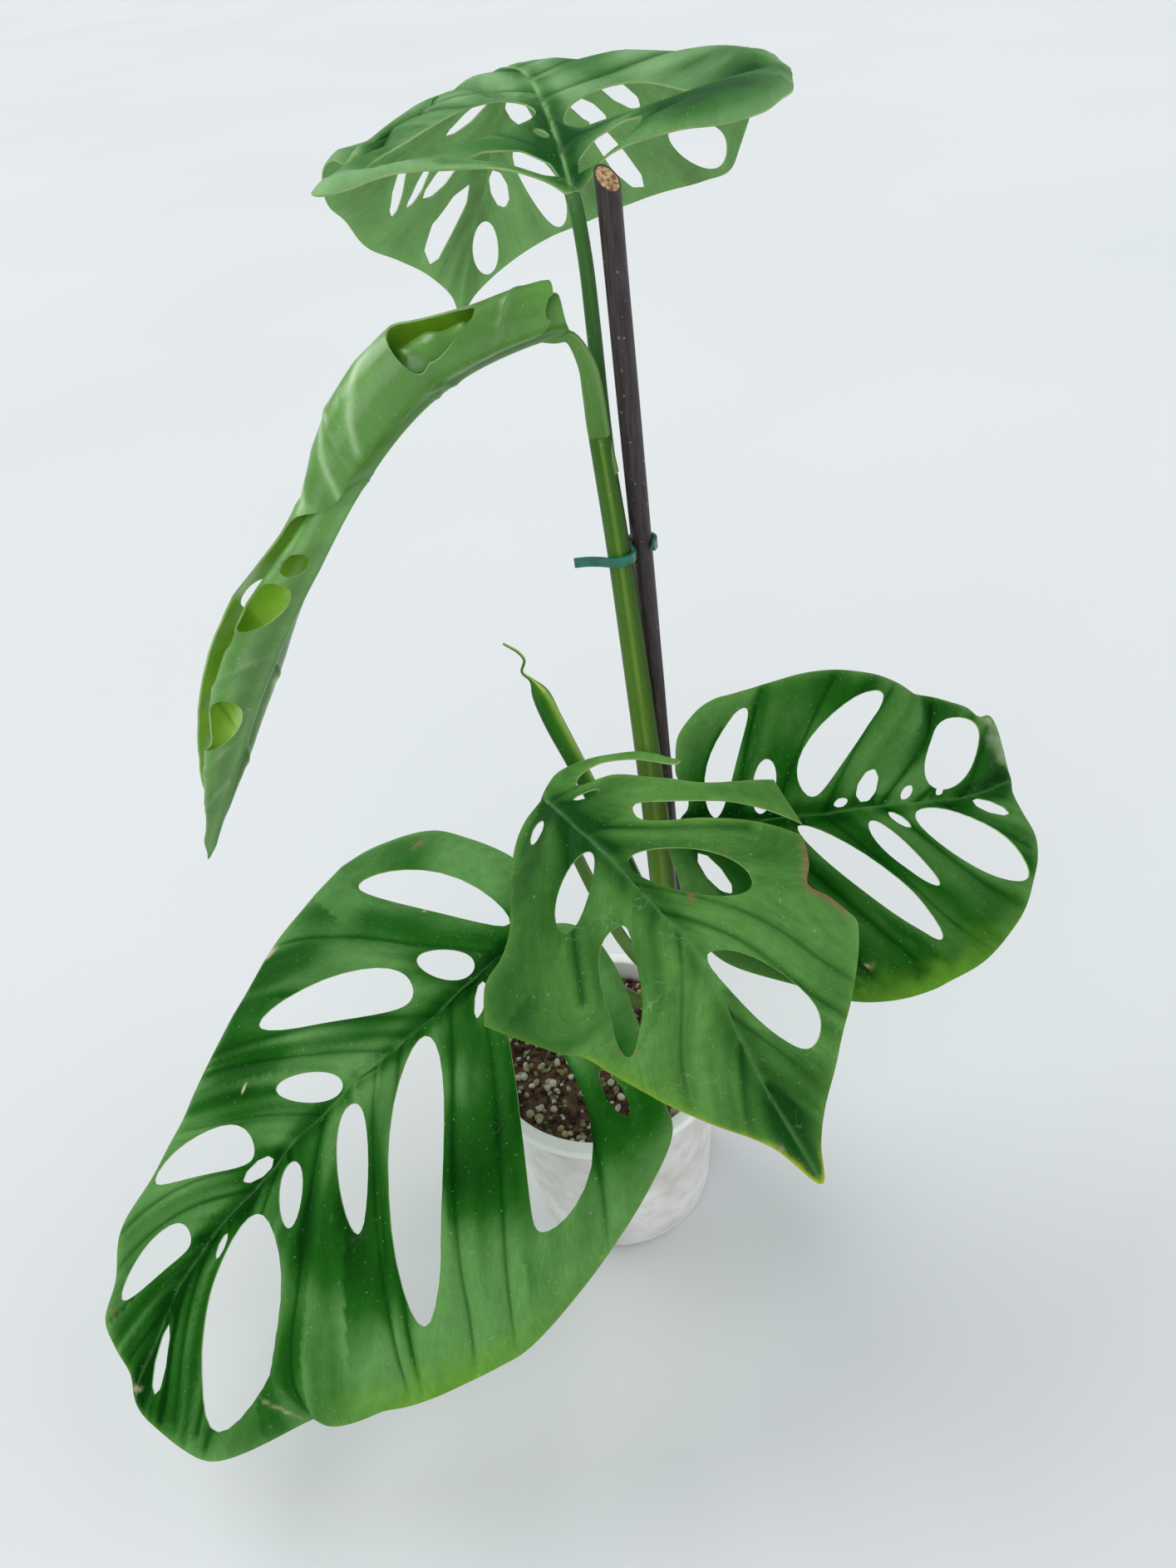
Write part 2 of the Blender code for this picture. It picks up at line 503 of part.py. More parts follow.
def build_soil(collection, cutters, look):
    """The soil: it fills the pot and has a rough top, with plain holes where stems stand."""
    rings = 9
    radius = inner_radius(SOIL_TOP) - GAP
    profile = [(radius * (i + 1) / rings, SOIL_TOP) for i in range(rings)]
    profile += [(inner_radius(z) - GAP, z) for z in (60.0, 30.0, 5.0)]
    profile += [(inner_radius(FLOOR) - 3.4, FLOOR + GAP), (0.0, FLOOR + GAP)]
    plain = turned("soil_plain", [(0.0, SOIL_TOP)] + profile, collection, None, 40)
    soil = as_mesh("soil", plain, collection, look)
    rng = np.random.RandomState(7)
    lumps = np.column_stack([rng.uniform(-44, 44, (90, 2)), rng.uniform(3, 7, 90),
                             rng.uniform(-0.8, 1.5, 90)])
    for v in soil.data.vertices:
        x, y, z = v.co / MM
        out = math.hypot(x, y)
        if z > SOIL_TOP - 0.1 and out < radius - 1:
            rise = (lumps[:, 3] * np.exp(-((x - lumps[:, 0])**2 + (y - lumps[:, 1])**2)
                                         / lumps[:, 2]**2)).sum()
            v.co.z += (rise + SOIL_RISE * (1 - (out / radius)**2)) * MM
    foot, head = np.array(STAKE_FOOT), np.array(STAKE_HEAD)
    down = GAP * (foot - head) / np.linalg.norm(foot - head)
    low, high = np.array(STEM[0][:3]), np.array(STEM[1][:3])
    sockets = [rod("stake_socket", foot + down, foot + (head - foot) * 0.15,
                   STAKE_R + GAP + 0.1, cutters),
               rod("stem_socket", low + (0, 0, -GAP), low + (high - low) * 1.4, SOCKET_R, cutters)]
    cut(soil, sockets)
    return soil


def build_stake(collection, look):
    """The stake, cut off at a slant."""
    made = rod("stake", STAKE_FOOT, STAKE_HEAD, STAKE_R, collection, 18)
    for v in made.data.vertices:
        if v.co.z > 0:
            away = made.rotation_quaternion @ Vector((v.co.x, v.co.y, 0))
            v.co.z += STAKE_CUT / STAKE_R * away.dot((*STAKE_CUT_WAY, 0))
    made.data.materials.append(look)
    return made


def build_clip(collection, look):
    """The tie: a flat strip on edge, drawn as its outline from above."""
    middle = smooth(CLIP_ROUTE, 3)
    run = np.gradient(middle, axis=0)
    run /= np.linalg.norm(run, axis=1)[:, None]
    out = np.column_stack([-run[:, 1], run[:, 0]]) * CLIP_THICK / 2
    ring = np.vstack([middle + out, (middle - out)[::-1]])
    curve = bpy.data.curves.new("stake_clip", "CURVE")
    curve.dimensions = "2D"
    curve.fill_mode = "BOTH"
    curve.extrude = CLIP_HEIGHT / 2 * MM
    line = curve.splines.new("POLY")
    line.points.add(len(ring) - 1)
    for point, (x, y) in zip(line.points, ring):
        point.co = (x * MM, y * MM, 0, 1)
    line.use_cyclic_u = True
    made = add("stake_clip", curve, collection, look)
    made.location.z = CLIP_Z * MM
    return made


def main():
    for old in list(bpy.data.objects):
        bpy.data.objects.remove(old)
    parts = bpy.data.collections.new(NAME)
    cutters = bpy.data.collections.new("cutters")
    for group in (parts, cutters):
        bpy.context.scene.collection.children.link(group)

    plastic = material("frosted plastic", (0.80, 0.81, 0.79), 0.45)
    earth = material("potting mix", (0.09, 0.045, 0.03), 0.95)
    bark = material("dark cane", (0.035, 0.022, 0.024), 0.6)
    tie = material("green tie", (0.0, 0.16, 0.08), 0.35)
    stem_green = material("stem green", (0.20, 0.36, 0.06), 0.45)
    deep = material("deep leaf green", (0.025, 0.13, 0.022), 0.4)
    mid = material("leaf green", (0.05, 0.18, 0.045), 0.45)
    young = material("young leaf green", (0.16, 0.34, 0.07), 0.45)

    build_pot(parts, cutters, plastic)
    build_soil(parts, cutters, earth)
    build_stake(parts, bark)
    build_clip(parts, tie)
    stalk("stem", STEM, parts, stem_green, sides=4)
    stalk("petiole_rolled", ROLLED_PETIOLE + under(LEAF_ROLLED, ROLLED_END), parts, stem_green)
    petiole("petiole_top", TOP_PETIOLE, LEAF_TOP, parts, deep)
    petiole("petiole_front", FRONT_PETIOLE, LEAF_FRONT, parts, stem_green)
    petiole("petiole_side", SIDE_PETIOLE, LEAF_SIDE, parts, stem_green)
    petiole("petiole_low", LOW_PETIOLE, LEAF_LOW, parts, stem_green)
    shoot = NEW_SHOOT
    rows = from_stem(shoot["leaves_at"], shoot["heading"], shoot["thick"]) + shoot["route"]
    stalk("new_shoot", rows, parts, young, per=3)
    leaf("leaf_low", LEAF_LOW, parts, deep)
    leaf("leaf_front", LEAF_FRONT, parts, mid)
    leaf("leaf_side", LEAF_SIDE, parts, deep)
    leaf("leaf_top", LEAF_TOP, parts, mid)
    leaf("leaf_rolled", LEAF_ROLLED, parts, young, ROLL_LATTICE)


main()
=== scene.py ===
"""The looks of a young Monstera epipremnoides in its nursery pot.

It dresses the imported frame: finer leaves with veins, ridged stems, potting mix, pot and stake.
Sizes are in millimetres and are turned into metres by MM. Each leaf is drawn flat first: x runs
along its midrib and y to its right (to its left in the rows named left).
"""

import math

import bmesh
import bpy
import numpy as np
from mathutils import Matrix, Vector, noise
from mathutils.geometry import delaunay_2d_cdt


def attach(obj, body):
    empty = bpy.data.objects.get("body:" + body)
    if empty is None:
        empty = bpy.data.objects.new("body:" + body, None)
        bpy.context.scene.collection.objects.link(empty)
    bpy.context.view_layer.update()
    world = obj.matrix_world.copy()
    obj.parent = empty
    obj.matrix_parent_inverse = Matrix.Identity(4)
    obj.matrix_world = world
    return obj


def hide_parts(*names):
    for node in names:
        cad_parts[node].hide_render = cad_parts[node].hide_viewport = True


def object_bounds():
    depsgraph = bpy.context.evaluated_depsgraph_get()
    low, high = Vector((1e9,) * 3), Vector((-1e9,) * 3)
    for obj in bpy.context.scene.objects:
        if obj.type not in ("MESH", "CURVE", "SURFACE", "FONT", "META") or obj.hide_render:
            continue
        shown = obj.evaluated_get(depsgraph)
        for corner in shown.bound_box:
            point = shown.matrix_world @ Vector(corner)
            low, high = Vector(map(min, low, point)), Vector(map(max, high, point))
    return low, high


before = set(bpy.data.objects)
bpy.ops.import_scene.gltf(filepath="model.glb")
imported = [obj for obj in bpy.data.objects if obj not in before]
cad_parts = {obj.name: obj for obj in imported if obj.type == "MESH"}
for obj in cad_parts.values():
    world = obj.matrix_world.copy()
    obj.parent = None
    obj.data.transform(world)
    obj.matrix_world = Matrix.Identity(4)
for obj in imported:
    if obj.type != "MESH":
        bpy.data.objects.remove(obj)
cad_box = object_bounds()

MM = 0.001

# Camera, from the pot's rim and foot in the photograph
CAMERA_PLACE = (0.011, -0.319, 0.5025)
CAMERA_DOWN = 39.5
CAMERA_ROLL = -8.6
CAMERA_LENS = 27.03

# Pot, soil and stake, as in the frame
POT_TOP = 94.5
POT_RIM_R = 52.5
POT_MOUTH_R = 47.2
POT_FOOT_R = 40.8
POT_WALL = 1.0
RIM_DEPTH = 4.6
FLOOR = 1.4
DRAIN_HOLES = 6
DRAIN_R = 3.2
DRAIN_RING_R = 27.0
SOIL_TOP = 85.0
STAKE_R = 3.4
STAKE_FOOT = (38.1, 9.8, 58.0)
STAKE_HEAD = (38.9, 8.8, 429.0)
STAKE_CUT = 3.2
STAKE_CUT_WAY = (-0.55, 0.84)
SOIL_R = 46.2

# Marks on a leaf below this size, and folds below this width, get extra fine points
SMALL_MARK = 5.0
THIN_FOLD = 3.0

# The share of the new shoot's length where its thin dry tip starts
TIP_STARTS = 0.84

# No leaf's bulges rise above the frame's own top
CEILING = cad_box[1][2] / MM - 0.1

# Ends of colour ramps, and colours of marks on the leaves
WHITE = (1.0, 1.0, 1.0)
BLACK = (0.0, 0.0, 0.0)
YELLOW = (0.13, 0.31, 0.025)
BROWN = (0.26, 0.13, 0.07)
STRAW = (0.55, 0.46, 0.30)
SAGE = (0.26, 0.36, 0.20)

# Loose grains: how many, smallest and largest radius, squash, roughness, colours, detail
GRAINS = [(420, 0.9, 2.1, 0.85, 0.06, [(0.52, 0.49, 0.36), (0.36, 0.36, 0.20), (0.62, 0.61, 0.50),
                                       (0.25, 0.24, 0.12)], 2),
          (520, 0.9, 2.4, 0.6, 0.22, [(0.075, 0.030, 0.022), (0.045, 0.020, 0.016),
                                      (0.12, 0.05, 0.035), (0.03, 0.015, 0.012)], 1),
          (150, 0.9, 1.9, 0.8, 0.12, [(0.17, 0.20, 0.07), (0.26, 0.28, 0.12),
                                      (0.12, 0.15, 0.06)], 2)]

# Stem: each row is a point of its route and the radius there
STEM = [(34.1, 1.2, 34, 5.0), (34.0, 1.4, 86, 5.4), (33.9, 2.0, 142, 5.2), (33.8, 2.2, 194, 5.0),
        (33.4, 2.4, 236, 4.6), (32.2, 3.0, 288, 4.1), (31.0, 3.8, 328, 3.7), (29.2, 3.6, 364, 3.3)]

# Petioles: the height and the heading in degrees at which each leaves the stem, its route, and
# its radius where it meets the leaf's underside
TOP_PETIOLE = dict(leaves_at=331, heading=82, thick=1.9, end=1.9,
                   route=[(32.0, 10.3, 337, 2.0), (31.5, 10.6, 350, 2.1), (31.2, 11.4, 367, 2.2),
                          (31.4, 12.2, 392, 2.1), (31.2, 11.4, 410, 2.0)])
FRONT_PETIOLE = dict(leaves_at=140, heading=212, thick=2.6, end=1.9,
                     route=[(23.0, -5.2, 147, 2.5), (15.5, -9.5, 168, 2.4), (8.0, -13.0, 198, 2.3),
                            (1.5, -14.5, 228, 2.1), (-2.5, -13.5, 243.5, 2.0)])
SIDE_PETIOLE = dict(leaves_at=148, heading=-28, thick=2.2, end=1.5,
                    route=[(42.6, -2.6, 155, 2.2), (44.0, -3.2, 172, 2.0), (43.4, -1.6, 192, 1.8),
                           (41.8, 1.2, 206, 1.6)])
LOW_PETIOLE = dict(leaves_at=112, heading=178, thick=2.8, end=2.0,
                   route=[(21, 2.8, 114.5, 2.8), (8, 5, 126, 2.6), (-8, 8, 143, 2.3)])
NEW_SHOOT = dict(leaves_at=150, heading=128, thick=2.8,
                 route=[(27.5, 11.0, 160, 3.1), (21.7, 13.0, 184.6, 3.2), (15.3, 14, 210.5, 3.2),
                        (7.6, 14, 239.5, 3.4), (2.2, 14, 259.0, 3.5), (-0.6, 14, 271.0, 3.0),
                        (-2.8, 14, 277.0, 0.8), (-5.4, 14, 280.8, 0.5), (-3.9, 14, 285.3, 0.5),
                        (-5.4, 14, 288.7, 0.5), (-9.8, 14, 293.0, 0.4)])
ROLLED_PETIOLE = [(29.1, 3.6, 364.6, 3.2), (28.7, 3.4, 376, 3.0), (27.8, 3.5, 385, 2.5)]
ROLLED_END = 1.7

# size: the leaf's scale, against the flat drawing below
# midrib: its route; the second point is the petiole's joint, and what lies before it guides the
#   basal lobes
# side: at an x, the direction of the leaf's right
# bend: rows of x, then the fold at the midrib in degrees, right and left, and the curl across in
#   degrees per 100 mm, right and left
# right, left: the margins, where a point given twice is a sharp corner
# windows: root, tip, width, place of the widest part, sideways bow
LEAF_LOW = dict(
    size=1.0,
    midrib=[(2, 19, 168), (-24, 7, 160), (-58, -13, 148), (-102, -32, 128), (-144, -51, 100),
            (-173, -69, 80), (-198, -101, 52)],
    side=[(0, (-0.47, 0.87, 0.10)), (90, (-0.46, 0.88, 0.10)), (145, (-0.51, 0.86, 0.08)),
          (190, (-0.67, 0.74, 0.02)), (237, (-0.78, 0.63, -0.03))],
    bend=[(0, 8, 8, -22, -22), (240, 8, 8, -22, -22)],
    right=[(0, 2), (-14, 4), (-21, 14), (-17, 32), (-9, 54), (2, 78), (20, 95), (38, 99), (58, 97),
           (88, 86), (116, 72), (146, 56), (174, 43), (190, 40), (204, 31), (217, 27), (224, 17),
           (229, 6)],
    left=[(0, 2), (-14, 5), (-22, 18), (-22, 38), (-17, 58), (-8, 80), (6, 98), (30, 109),
          (56, 118), (84, 121), (113, 114), (134, 107), (153, 98), (178, 87), (203, 79),
          (223, 63), (235, 45), (238, 22), (238, 6)],
    windows_right=[((0, 9), (37, 80), 17, 0.65, 6), ((22, 4), (37, 26), 13, 0.4, 0),
                   ((47, 15), (109, 56), 21, 0.3, 3), ((91, 3), (115, 25), 12, 0.4, 0),
                   ((131, 3), (147, 7), 7, 0.4, 0), ((136, 12), (175, 41), 18, 0.35, 4),
                   ((176, 9), (208, 24), 14, 0.3, 2)],
    windows_left=[((146, 12), (226, 45), 40, 0.45, 9), ((163, 4), (173, 8), 4, 0.5, 0),
                  ((124, 5), (138, 26), 13, 0.4, 0), ((91, 6), (113, 50), 15, 0.35, 0),
                  ((53, 4), (110, 92), 24, 0.45, 0), ((23, 3), (34, 15), 5, 0.4, 0),
                  ((20, 18), (54, 96), 20, 0.7, 6), ((14, 66), (19, 86), 7, 0.5, 0),
                  ((205, 3), (230, 9), 7, 0.6, 0)])
LEAF_FRONT = dict(
    size=0.94,
    midrib=[(-10.6, 13, 248), (-4, -17.3, 251), (14.8, -50.2, 248.2), (37.3, -84, 232.3),
            (46.7, -102.8, 208.8), (63.6, -124.4, 171.2)],
    side=[(-30, (-0.92, -0.36, -0.18)), (40, (-0.88, -0.42, -0.24)), (90, (-0.90, -0.37, -0.23)),
          (170, (-0.93, -0.30, -0.22))],
    bend=[(0, -5, -5, -10, -10), (180, -5, -5, -10, -10)],
    right=[(0, 2), (3, 10), (10, 20), (19, 29), (34, 42), (39, 49), (42, 58), (52, 67), (52, 67),
           (72, 58), (94, 49), (106, 43), (118, 33), (134, 20), (150, 8)],
    left=[(-5, 3), (-10, 9), (-11, 17), (-9, 26), (-2, 36), (10, 42), (23, 46), (23, 46), (23, 44),
          (13, 39), (4, 34), (-4, 25), (-3, 16), (2, 12), (8, 25), (24, 36), (35, 43), (43, 52),
          (53, 63), (53, 63), (71, 58), (71, 58), (56, 50), (43, 40), (34, 30), (27, 21), (33, 18),
          (48, 34), (62, 47), (74, 55), (74, 55), (81, 50), (85, 45), (90, 49), (98, 54), (98, 54),
          (118, 43), (134, 29), (148, 15), (159, 6)],
    windows_right=[((32, 3), (48, 28), 11, 0.5, 1), ((59, 13), (105, 35), 13, 0.3, 4),
                   ((8, 6), (14, 15), 4, 0.4, 0)],
    windows_left=[((85, 3), (129, 22), 17, 0.65, 3), ((44, 4), (76, 30), 16, 0.55, 0),
                  ((8, 7), (12, 17), 4, 0.6, 0)])
LEAF_SIDE = dict(
    size=0.88,
    midrib=[(31, 2.8, 214.5), (42.5, 1.9, 213.6), (64.5, -0.9, 211.4), (87.5, -2.5, 211),
            (118.3, -4.2, 211.9), (145.7, -0.7, 206.6), (169.5, 10.8, 200.4)],
    side=[(-30, (-0.10, -0.90, -0.42)), (60, (-0.03, -0.91, -0.42)), (120, (0.16, -0.88, -0.45)),
          (160, (0.30, -0.84, -0.46))],
    bend=[(0, 4, 4, -14, -14), (180, 4, 4, -14, -14)],
    right=[(0, 2), (-6, 8), (-3, 23), (3, 42), (14, 58), (37, 70), (58, 79), (76, 80), (92, 76),
           (105, 70), (118, 57), (129, 43), (138, 34), (143, 26), (144, 14), (146, 5)],
    left=[(0, 2), (3, 6), (3, 13), (-1, 21), (-1, 29), (0, 39), (4, 48), (9, 55), (16, 60), (27, 62),
          (46, 65), (65, 68), (82, 66), (102, 60), (120, 53), (137, 46), (149, 38), (152, 32), (158, 31),
          (156, 16), (152, 6)],
    windows_right=[((48, 4), (94, 59), 13, 0.5, -2), ((77, 6), (98, 37), 9, 0.4, 1),
                   ((85, 3), (93, 11), 4, 0.5, 0), ((97, 4), (129, 40), 20, 0.5, -4),
                   ((124, 2), (137, 13), 6, 0.45, 0), ((7, 14), (20, 32), 7, 0.5, 0)],
    windows_left=[((54, 9), (96, 54), 18, 0.35, 5), ((75, 3), (84, 17), 8, 0.4, 0),
                  ((92, 2), (98, 8), 4, 0.5, 0), ((14, 2), (33, 54), 13, 0.5, 5),
                  ((33, 3), (40, 28), 10, 0.55, 0), ((106, 8), (148, 31), 23, 0.5, 2),
                  ((64, 3), (70, 5), 4, 0.5, 0), ((108, 3), (112, 6), 3, 0.5, 0)])
LEAF_TOP = dict(
    size=1.0,
    midrib=[(33, -15, 428), (30, 10, 427), (28, 36, 436), (25, 66, 443), (20, 86, 445),
            (13, 98, 429), (6, 101, 410), (-1, 102, 393), (-8, 96, 374)],
    side=[(-20, (1, 0.30, 0.05)), (60, (1, 0.35, 0.02)), (100, (1, 0.30, 0)), (180, (1, 0.20, 0))],
    bend=[(0, 8, 8, -12, -20), (25, 4, 2, -9, -22), (60, -5, -5, -3, -44), (100, -5, -5, -4, -50),
          (130, 0, -5, -14, -34), (180, 0, -5, -20, -30)],
    right=[(0, 2), (6, 6), (12, 11), (17, 20), (19, 32), (19, 46), (24, 59), (36, 69), (52, 76),
           (64, 84), (64, 84), (80, 88), (96, 88), (105, 86), (109, 76), (115, 58), (126, 37),
           (133, 25), (144, 12), (154, 4)],
    left=[(0, 2), (6, 5), (12, 14), (17, 30), (19, 48), (17, 64), (24, 67), (42, 60), (66, 55),
          (92, 57), (114, 61), (126, 57), (138, 46), (147, 36), (149, 24), (151, 14), (156, 4)],
    windows_right=[((33, 4), (53, 50), 13, 0.5, -6), ((8, 3), (29, 25), 7, 0.5, -1),
                   ((93, 2), (101, 12), 6, 0.5, 0), ((92, 22), (99, 38), 5, 0.5, 0),
                   ((86, 30), (94, 48), 5, 0.5, 0),
                   ((98, 31), (113, 55), 6, 0.6, -1), ((99, 60), (103, 83), 9, 0.6, 0),
                   ((108, 8), (128, 30), 10, 0.55, 1), ((115, 2), (126, 9), 6, 0.5, 0),
                   ((131, 3), (147, 7), 9, 0.55, 0)],
    windows_left=[((8, 2), (21, 25), 7, 0.5, -3), ((42, 3), (28, 53), 29, 0.4, -8),
                  ((24, 2), (30, 5), 3, 0.5, 0), ((91, 4), (105, 17), 5, 0.5, 0),
                  ((90, 17), (99, 27), 4, 0.5, 0), ((120, 5), (148, 13), 8, 0.6, 2),
                  ((112, 10), (126, 21), 5, 0.5, 0), ((114, 20), (130, 26), 3, 0.5, 0),
                  ((114, 29), (134, 30), 4, 0.5, 1)])
LEAF_ROLLED = dict(
    size=1.0,
    midrib=[(30, 4, 393), (24, 4, 395), (8, 0, 394), (-13, -6, 388), (-35, -13, 372),
            (-55, -20, 349), (-75, -26, 323), (-92, -33, 296), (-109, -41, 266)],
    side=[(-20, (0.1, 1, 0.1)), (25, (0.05, 1, 0.1)), (60, (0.15, 1, -0.1)),
          (95, (0.4, 0.85, -0.3)), (130, (0.62, 0.6, -0.5)), (240, (0.66, 0.5, -0.55))],
    bend=[(0, 0, 0, 909, 1246), (24, 0, 0, 855, 1194), (38, 0, 0, 603, 868), (50, 0, 0, 603, 868),
          (60, 0, 0, 651, 924), (72, 0, 0, 774, 1102), (84, 0, 0, 1005, 1432),
          (96, 0, 0, 924, 1246), (108, 0, 0, 754, 1005), (120, 0, 0, 610, 819),
          (134, 0, 0, 551, 754), (150, 0, 0, 562, 774), (162, 0, 0, 637, 895),
          (172, 0, 0, 785, 1146), (182, 0, 0, 1102, 1685), (192, 0, 0, 2204, 3581)],
    right=[(0, 2), (3, 10), (4, 24), (9, 35), (24, 38), (38, 52), (50, 53), (60, 49), (72, 41),
           (80, 34), (85, 28), (92, 23), (108, 27), (120, 35), (134, 39), (150, 37), (162, 32),
           (172, 25), (182, 16), (190, 6), (197, 1)],
    left=[(0, 2), (2, 8), (3, 18), (12, 25), (24, 26), (38, 35), (50, 36), (60, 33), (72, 28),
          (84, 21), (96, 24), (108, 30), (120, 36), (134, 40), (150, 39), (162, 33), (172, 25),
          (182, 15), (190, 6), (197, 1)],
    windows_right=[((23, 20), (41, 47), 11, 0.4, -4), ((0, 23), (7, 31), 5, 0.5, 0),
                   ((112, 14), (124, 30), 9, 0.5, 0)],
    windows_left=[((97, 3), (105, 9), 6, 0.5, 0), ((108, 4), (127, 17), 11, 0.5, 0),
                  ((128, 14), (140, 26), 8, 0.5, 0), ((147, 4), (166, 16), 12, 0.5, 0)])

# Painted light and painted shade on the blades: along, across, reach, how much lighter
LOW_SHADE = [(127, -46, 32, -0.3), (58, -66, 26, -0.28), (56, -108, 20, -0.25),
             (20, -73, 26, -0.35), (134, -99, 26, 0.2), (70, -122, 20, 0.15), (30, -105, 18, 0.1),
             (73, 78, 36, 0.15), (179, 30, 30, 0.15)]
FRONT_SHADE = [(16, 26, 20, -0.35), (44, 44, 20, -0.3), (66, 56, 14, -0.15), (110, -15, 25, 0.15)]
SIDE_SHADE = [(40, 40, 26, -0.35), (80, 10, 30, -0.1), (110, 30, 30, 0.1)]
TOP_SHADE = [(36, 34, 11, -0.6), (40, 52, 13, -0.6), (60, 74, 12, -0.5), (81, 62, 13, 0.35),
             (97, 37, 14, 0.45), (112, -34, 18, 0.5), (112, 10, 14, 0.4), (52, 5, 12, 0.35)]


def unit(rows):
    """The same directions with length 1."""
    return rows / np.linalg.norm(rows, axis=-1)[..., None]


def walked(line):
    """How far along a line each of its points is."""
    return np.r_[0, np.cumsum(np.linalg.norm(np.diff(line, axis=0), axis=1))]


def between(at, known, rows):
    """Rows of values at some places, from the rows at known places."""
    return np.stack([np.interp(at, known, rows[:, k]) for k in range(rows.shape[1])], -1)


def looped(ring):
    """A ring's points, with the first one again at the end."""
    return np.vstack([ring, ring[:1]])


def smooth(points, per=16):
    """Points of a smooth curve through the given points."""
    p = np.asarray(points, float)
    p = np.vstack([2 * p[0] - p[1], p, 2 * p[-1] - p[-2]])
    out = []
    for i in range(1, len(p) - 2):
        a, b, c, d = p[i - 1:i + 3]
        s = [max(np.linalg.norm(v), 1e-9) ** 0.5 for v in (b - a, c - b, d - c)]
        u = np.linspace(0, 1, per, endpoint=False)[:, None]
        m1 = s[1] * ((b - a) / s[0] - (c - a) / (s[0] + s[1]) + (c - b) / s[1])
        m2 = s[1] * ((c - b) / s[1] - (d - b) / (s[1] + s[2]) + (d - c) / s[2])
        out.append((2 * u**3 - 3 * u**2 + 1) * b + (u**3 - 2 * u**2 + u) * m1
                   + (-2 * u**3 + 3 * u**2) * c + (u**3 - u**2) * m2)
    return np.vstack(out + [p[-2]])


class Sheet:
    """The middle surface of a bent blade: from flat (x, y) to a place in the air."""

    def __init__(self, leaf):
        c = smooth(leaf["midrib"])
        step = np.linalg.norm(np.diff(c, axis=0), axis=1)
        self.x = np.r_[0, np.cumsum(step)] - step[:16].sum()
        self.length = self.x[-1]
        t = unit(np.gradient(c, axis=0))
        at, way = zip(*leaf["side"])
        r = between(self.x, at, np.array(way, float))
        r = unit(r - (r * t).sum(1)[:, None] * t)
        self.c, self.t, self.r, self.n = c, t, r, np.cross(r, t)
        self.bend = np.array(leaf["bend"], float)

    def frame(self, x):
        """The midrib's point and its directions along, right and up, at x."""
        past = x - np.clip(x, self.x[0], self.x[-1])
        c, t, r, n = (between(x, self.x, rows) for rows in (self.c, self.t, self.r, self.n))
        t = unit(t)
        return c + t * past[..., None], t, unit(r), unit(n)

    def at(self, x, y):
        """Places of flat points: the section across the midrib is an arc of true length."""
        x, y = np.broadcast_arrays(np.asarray(x, float), np.asarray(y, float))
        c, _, r, n = self.frame(x)
        away = np.abs(y)

        def pick(right, left):
            return np.where(y >= 0, np.interp(x, self.bend[:, 0], self.bend[:, right]),
                            np.interp(x, self.bend[:, 0], self.bend[:, left]))
        fold, curl = np.radians(pick(1, 2)), np.radians(pick(3, 4)) / 100
        curl = np.where(np.abs(curl) < 1e-7, 1e-7, curl)
        across = (np.sin(fold + curl * away) - np.sin(fold)) / curl
        up = (np.cos(fold) - np.cos(fold + curl * away)) / curl
        return c + r * (np.sign(y) * across)[..., None] + n * up[..., None]


def drop(root, tip, width, belly, bow, count):
    """Outline of one window: a drop from its root at the midrib to its tip near the margin."""
    root, tip = np.array(root, float), np.array(tip, float)
    axis = tip - root
    length = np.linalg.norm(axis)
    axis /= length
    across = np.array([-axis[1], axis[0]])
    out = []
    for i in range(count):
        a = 2 * math.pi * i / count
        u = 0.5 - 0.5 * math.cos(a)
        along = u + (belly - 0.5) * 3.2 * u * (1 - u)
        out.append(root + axis * length * along
                   + across * (width / 2 * math.sin(a) + bow * 4 * u * (1 - u)))
    return np.array(out)


def outlines(leaf, length, margin_points, hole_points):
    """The blade's edge and its windows as closed rows of flat points."""
    size = leaf["size"]
    edge = list(leaf["right"]) + [(length / size, 0)] + [(x, -y) for x, y in leaf["left"]][::-1]
    edge = smooth(edge, margin_points) * size
    edge = edge[np.linalg.norm(edge - np.roll(edge, 1, axis=0), axis=1) > 0.1]
    holes = []
    for side, rows in ((1, leaf["windows_right"]), (-1, leaf["windows_left"])):
        for (a, b), (c, d), width, belly, bow in rows:
            count = hole_points if width > 8 else 8
            hole = drop((a, side * b), (c, side * d), width, belly, side * bow, count)
            holes.append(hole * size)
    return edge, holes


def inside(points, ring):
    """Which of the points lie inside a closed ring."""
    x, y = points[:, 0], points[:, 1]
    hit = np.zeros(len(points), bool)
    for (ax, ay), (bx, by) in zip(ring, np.roll(ring, -1, axis=0)):
        if ay != by:
            hit ^= ((ay > y) != (by > y)) & (x < ax + (bx - ax) * (y - ay) / (by - ay))
    return hit


